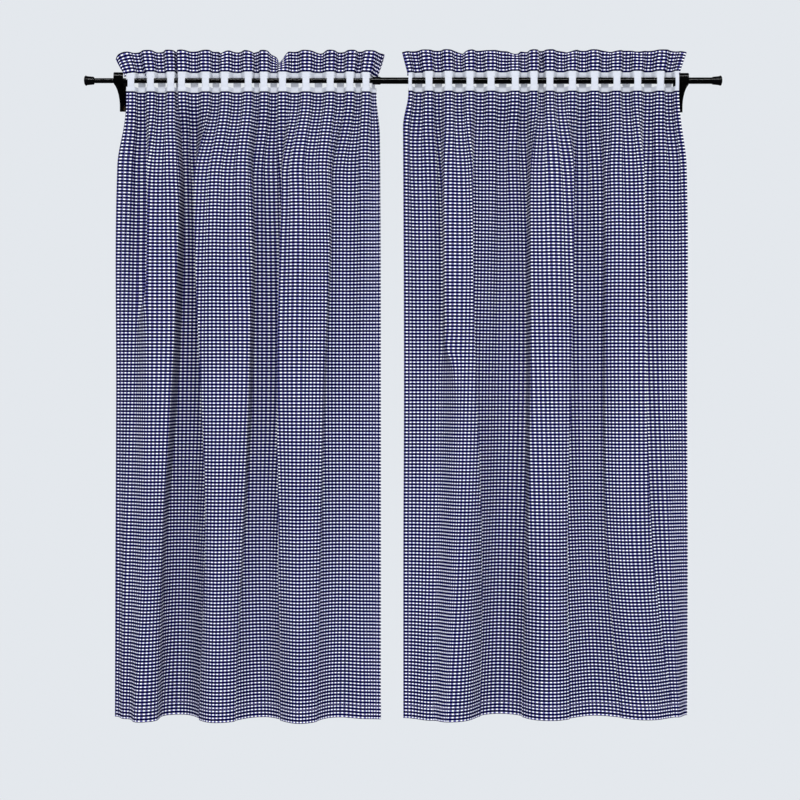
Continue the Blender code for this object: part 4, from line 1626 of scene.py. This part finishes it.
@dataclass
class Studio:
    """Camera, soft lights, pale surroundings and floor."""

    rod_distance: float = 2.739
    eye: tuple = (0.4811, -0.5261)
    lens: float = 72.0
    sensor: float = 36.0
    shift: float = -0.015
    target: tuple = (0.48, -0.06, -0.5)
    softboxes: tuple = (
        Softbox("key softbox", (0.55, -2.76, 1.95), (1.2, 0.5), 58.0),
        Softbox("rod strip light", (0.48, -2.76, 1.95), (4.2, 0.16), 175.0, for_gloss=True),
        Softbox("low fill softbox", (0.5, -3.1, -1.7), (1.8, 0.8), 42.0),
        Softbox("back softbox", (0.4, 3.0, 1.6), (2.0, 1.2), 12.0),
    )
    surround_colour: tuple = colour(0.775, 0.807, 0.847)
    soft_colour: tuple = colour(0.92, 0.95, 1.0)
    soft_strength: float = 0.8
    gloss_strength: float = 0.01
    floor_colours: tuple = (colour(0.80, 0.82, 0.85), colour(0.84, 0.86, 0.89))
    floor_height: float = -1.9
    floor_reach: float = 40.0
    fade_start: float = 0.8
    fade_end: float = 2.2

    def build(self) -> None:
        """Build everything that isn't the object."""
        self.place_camera()
        for softbox in self.softboxes:
            softbox.build(self.target)
        self.make_surroundings()
        self.lay_floor()
        bpy.context.scene.view_settings.view_transform = "Standard"

    def place_camera(self) -> None:
        """Place the camera at the photograph's viewpoint."""
        lens = bpy.data.cameras.new("camera")
        lens.lens = self.lens
        lens.sensor_width = self.sensor
        lens.shift_y = self.shift
        camera = bpy.data.objects.new("camera", lens)
        camera.location = (self.eye[0], -ROD_OUT * MM - self.rod_distance, self.eye[1])
        camera.rotation_euler = (math.pi / 2.0, 0.0, 0.0)
        bpy.context.scene.collection.objects.link(camera)
        bpy.context.scene.camera = camera

    def make_surroundings(self) -> None:
        """Make the pale surroundings, plain to the eye and softer as light."""
        world = bpy.data.worlds.new("pale studio")
        world.use_nodes = True
        tree = world.node_tree
        sight = tree.nodes.new("ShaderNodeLightPath")
        output = tree.nodes["World Output"]
        seen = tree.nodes["Background"]
        seen.inputs["Color"].default_value = self.surround_colour
        soft = tree.nodes.new("ShaderNodeBackground")
        soft.inputs["Color"].default_value = self.soft_colour
        soft.inputs["Strength"].default_value = self.soft_strength
        gloss = tree.nodes.new("ShaderNodeBackground")
        gloss.inputs["Color"].default_value = colour(1.0, 1.0, 1.0)
        gloss.inputs["Strength"].default_value = self.gloss_strength
        first = tree.nodes.new("ShaderNodeMixShader")
        second = tree.nodes.new("ShaderNodeMixShader")
        for start, end in (
            (sight.outputs["Is Glossy Ray"], first.inputs[0]),
            (soft.outputs[0], first.inputs[1]),
            (gloss.outputs[0], first.inputs[2]),
            (sight.outputs["Is Camera Ray"], second.inputs[0]),
            (first.outputs[0], second.inputs[1]),
            (seen.outputs[0], second.inputs[2]),
            (second.outputs[0], output.inputs["Surface"]),
        ):
            tree.links.new(start, end)
        bpy.context.scene.world = world

    def lay_floor(self) -> None:
        """Lay a pale floor that fades into the surroundings."""
        bench = NodeBench("pale floor")
        place = bench.own_place()
        away = bench.add("VectorMath", {0: place}, operation="LENGTH").outputs["Value"]
        limits = {"Value": away, "From Min": self.fade_start, "From Max": self.fade_end}
        fade = bench.add("MapRange", limits, interpolation_type="SMOOTHSTEP").outputs[0]
        grain = bench.noise(place, 3.0, 2.0)
        near = bench.blend(grain, *self.floor_colours)
        bench.dress_shader(Base_Color=near, Roughness=0.9)
        glow = bench.add("Emission", {"Color": self.surround_colour})
        both = bench.add("MixShader", {0: fade, 1: bench.shader.outputs[0], 2: glow.outputs[0]})
        output = bench.tree.nodes["Material Output"]
        bench.tree.links.new(both.outputs[0], output.inputs["Surface"])
        steps = 96
        angles = np.arange(steps) * 2.0 * math.pi / steps
        rim = np.stack([np.cos(angles), np.sin(angles), np.zeros(steps)], axis=1)
        floor = mesh_of("floor", rim * self.floor_reach, [tuple(range(steps))], bench.material)
        floor.location = (self.eye[0], 0.0, self.floor_height)
        floor.visible_glossy = False
        floor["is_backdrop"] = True


LEFT_PANEL = CurtainPanel(
    side=Side.LEFT,
    tube_radius=4.25,
    tape_ends=(13.6, 440.5),
    first_front_flat=12.7,
    front_bars=(
        *(21.5, 55.0, 89.5, 108.0, 149.0, 181.5, 222.0),
        *(248.5, 280.5, 320.5, 362.0, 395.5, 423.0),
    ),
    folds=(
        Fold(
            0.0,
            (2.0, -6.6, -8.8, -10.2, -11.1),
            (0.0, -12.0, -22.0, -24.0, -24.0),
            (3.5, 12.0, 10.3, 5.2, 0.0),
            soft_below=ALWAYS_SOFT,
        ),
        Fold(
            35.0,
            (32.0, 28.0, 24.0, 19.0, 11.0),
            (-4.0, -22.0, -8.0, 0.0, -3.0),
            (44.5, 46.3, 41.1, 32.6, 18.9),
            soft_below=300.0,
        ),
        Fold(
            80.0,
            (63.0, 57.0, 55.0, 52.0, 38.0),
            (7.0, 12.0, 18.0, 18.0, 26.0),
            (98.5, 99.3, 89.1, 75.4, 66.8),
        ),
        Fold(
            170.0,
            (109.0, 112.0, 108.0, 102.0, 98.0),
            (-22.0, -41.0, -48.0, -48.0, -42.0),
            (133.6, 133.6, 142.1, 149.0, 138.7),
        ),
        Fold(
            285.0,
            (185.0, 179.0, 180.0, 176.0, 171.0),
            (5.0, 14.0, 23.0, 30.0, 30.0),
            (220.9, 226.0, 222.6, 212.3, 198.6),
        ),
        Fold(
            379.0,
            (245.0, 245.0, 245.0, 241.0, 245.0),
            (-12.0, -26.0, -31.0, -24.0, -20.0),
            (284.2, 279.1, 273.9, 273.9, 275.7),
        ),
        Fold(
            481.0,
            (314.0, 319.0, 317.0, 314.0, 313.0),
            (8.0, 20.0, 32.0, 33.0, 36.0),
            (364.7, 363.0, 351.0, 345.9, 339.0),
            gentle=0.45,
        ),
        Fold(
            578.0,
            (383.0, 381.0, 380.0, 380.0, 375.0),
            (-8.0, -18.0, -21.0, -23.0, -18.0),
            (397.2, 400.6, 398.9, 398.9, 398.9),
            soft_below=ALWAYS_SOFT,
        ),
        Fold(
            622.0,
            (418.0, 420.0, 418.0, 418.0, 422.0),
            (4.0, -8.0, -14.0, -20.0, -4.0),
            (433.2, 434.9, 434.9, 434.9, 438.3),
            soft_below=ALWAYS_SOFT,
        ),
        Fold(
            660.4,
            (445.0, 447.0, 448.0, 448.0, 448.0),
            (0.0, -3.0, -6.0, -14.0, -1.0),
        ),
    ),
    release_starts=(34.0, 30.0, 30.0, 28.0),
    release_ends=(150.0, 170.0, 170.0, 100.0),
    flare=(19.0, 14.0),
    corner_drop=(14.2, 7.0),
    end_sag=(4.5, 7.0),
    pleat_flat=139.7,
    dips=(
        Dip(38.0, 12.0, 1.0),
        Dip(84.0, 10.0, 1.0),
        Dip(259.0, 9.0, 5.0),
        Dip(292.0, 11.0, 1.0),
        Dip(329.0, 12.0, 3.0),
        Dip(402.0, 20.0, 7.0),
        Dip(413.0, 11.0, 14.0),
        Dip(499.0, 10.0, 3.0),
        Dip(545.0, 11.0, 1.5),
    ),
    last_back_bar=-8.2,
)

RIGHT_PANEL = CurtainPanel(
    side=Side.RIGHT,
    tube_radius=5.45,
    tape_ends=(495.5, 957.5),
    first_front_flat=0.0,
    front_bars=(
        *(495.5, 530.5, 564.0, 600.5, 636.5, 678.0, 710.0),
        *(737.0, 775.5, 813.5, 851.5, 887.0, 926.0, 957.5),
    ),
    folds=(
        Fold(
            0.0,
            (486.0, 487.0, 488.0, 487.0, 487.0),
            (-4.0, -6.0, -5.0, -5.0, -6.0),
            (515.3, 515.3, 515.3, 515.3, 511.9),
            soft_below=ALWAYS_SOFT,
        ),
        Fold(
            61.0,
            (540.0, 546.0, 546.0, 543.0, 536.0),
            (-6.0, -19.0, -8.0, 5.0, 16.0),
            (558.1, 559.9, 559.9, 556.4, 549.6),
            soft_below=420.0,
        ),
        Fold(
            128.0,
            (584.0, 591.0, 587.0, 579.0, 562.0),
            (8.0, 18.0, 29.0, 30.0, 31.0),
            (607.8, 607.8, 612.9, 621.5, 624.9),
            gentle=0.6,
        ),
        Fold(
            242.0,
            (661.0, 667.0, 666.0, 661.0, 656.0),
            (-16.0, -29.0, -38.0, -41.0, -42.0),
            (700.2, 700.2, 700.2, 698.5, 688.3),
        ),
        Fold(
            336.0,
            (724.0, 722.0, 729.0, 735.0, 735.0),
            (8.0, 20.0, 22.0, 24.0, 19.0),
            (777.3, 777.3, 772.1, 767.0, 770.4),
            gentle=0.3,
        ),
        Fold(
            436.0,
            (803.0, 803.0, 803.0, 806.0, 820.0),
            (-14.0, -24.0, -30.0, -29.0, -26.0),
            (828.6, 832.1, 832.1, 835.5, 861.2),
            gentle=0.45,
        ),
        Fold(
            530.0,
            (866.0, 870.0, 870.0, 874.0, 905.0),
            (8.0, 15.0, 15.0, 14.0, 14.0),
            (893.7, 898.8, 902.3, 912.5, 950.2),
            gentle=0.3,
        ),
        Fold(
            608.0,
            (926.0, 928.0, 934.0, 946.0, 960.0),
            (-8.0, -14.0, -16.0, -20.0, -12.0),
            (943.3, 946.8, 950.2, 960.5, 967.3),
            soft_below=ALWAYS_SOFT,
        ),
        Fold(
            660.4,
            (967.0, 973.6, 974.8, 978.8, 978.0),
            (-4.0, -8.0, -14.0, -30.0, -31.0),
        ),
    ),
    release_starts=(28.0, 30.0, 30.0, 24.0),
    release_ends=(85.0, 170.0, 170.0, 150.0),
    flare=(11.0, 13.0),
    corner_drop=(5.3, 5.5),
    end_sag=(3.0, 0.0),
    pleat_flat=330.2,
    dips=(
        Dip(136.0, 12.0, 5.0),
        Dip(203.0, 12.0, 1.0),
        Dip(254.0, 14.0, 7.0),
        Dip(285.0, 12.0, 2.0),
        Dip(397.0, 12.0, 4.0),
        Dip(500.0, 14.0, 3.0),
        Dip(560.0, 13.0, 3.5),
    ),
    last_back_bar=-BAR_OFFSET,
)


def main() -> None:
    """Build the surroundings, the rod, its brackets and the two tiers."""
    logging.basicConfig(level=logging.INFO, format="%(message)s")
    Studio().build()
    gingham = GinghamCotton().material()
    webbing = WovenTape().material()
    enamel = BlackEnamel(
        name="black enamel",
        base=colour(0.001, 0.001, 0.001),
        low_roughness=0.13,
        grain_scale=420.0,
        grain_depth=0.02,
    ).material()
    moulded = BlackEnamel(
        name="black moulding",
        base=colour(0.0015, 0.0015, 0.002),
        low_roughness=0.2,
        grain_scale=900.0,
        grain_depth=0.03,
    ).material()
    brass = BrassPlate().material()
    white_thread = SewingThread("white thread", colour(0.82, 0.83, 0.86)).material()
    blue_thread = SewingThread("blue thread", colour(0.25, 0.24, 0.45)).material()
    TelescopicRod().build(enamel, moulded)
    WallBracket(Side.LEFT, 0.0, 4.25).build(enamel, brass)
    WallBracket(Side.RIGHT, BRACKET_SPACING, 5.45).build(enamel, brass)
    for panel in (LEFT_PANEL, RIGHT_PANEL):
        panel.build_tape(webbing, white_thread)
        panel.build_heading(gingham)
        panel.build_drop(gingham, blue_thread)


def write_sizes() -> None:
    """Work out the solid model's box and the dressed model's box as lists; they are not kept."""
    for name, corners in (("cad", CAD_BOX), ("visual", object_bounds())):
        [[float(part) for part in corner] for corner in corners]


if __name__ == "__main__":
    main()
    write_sizes()
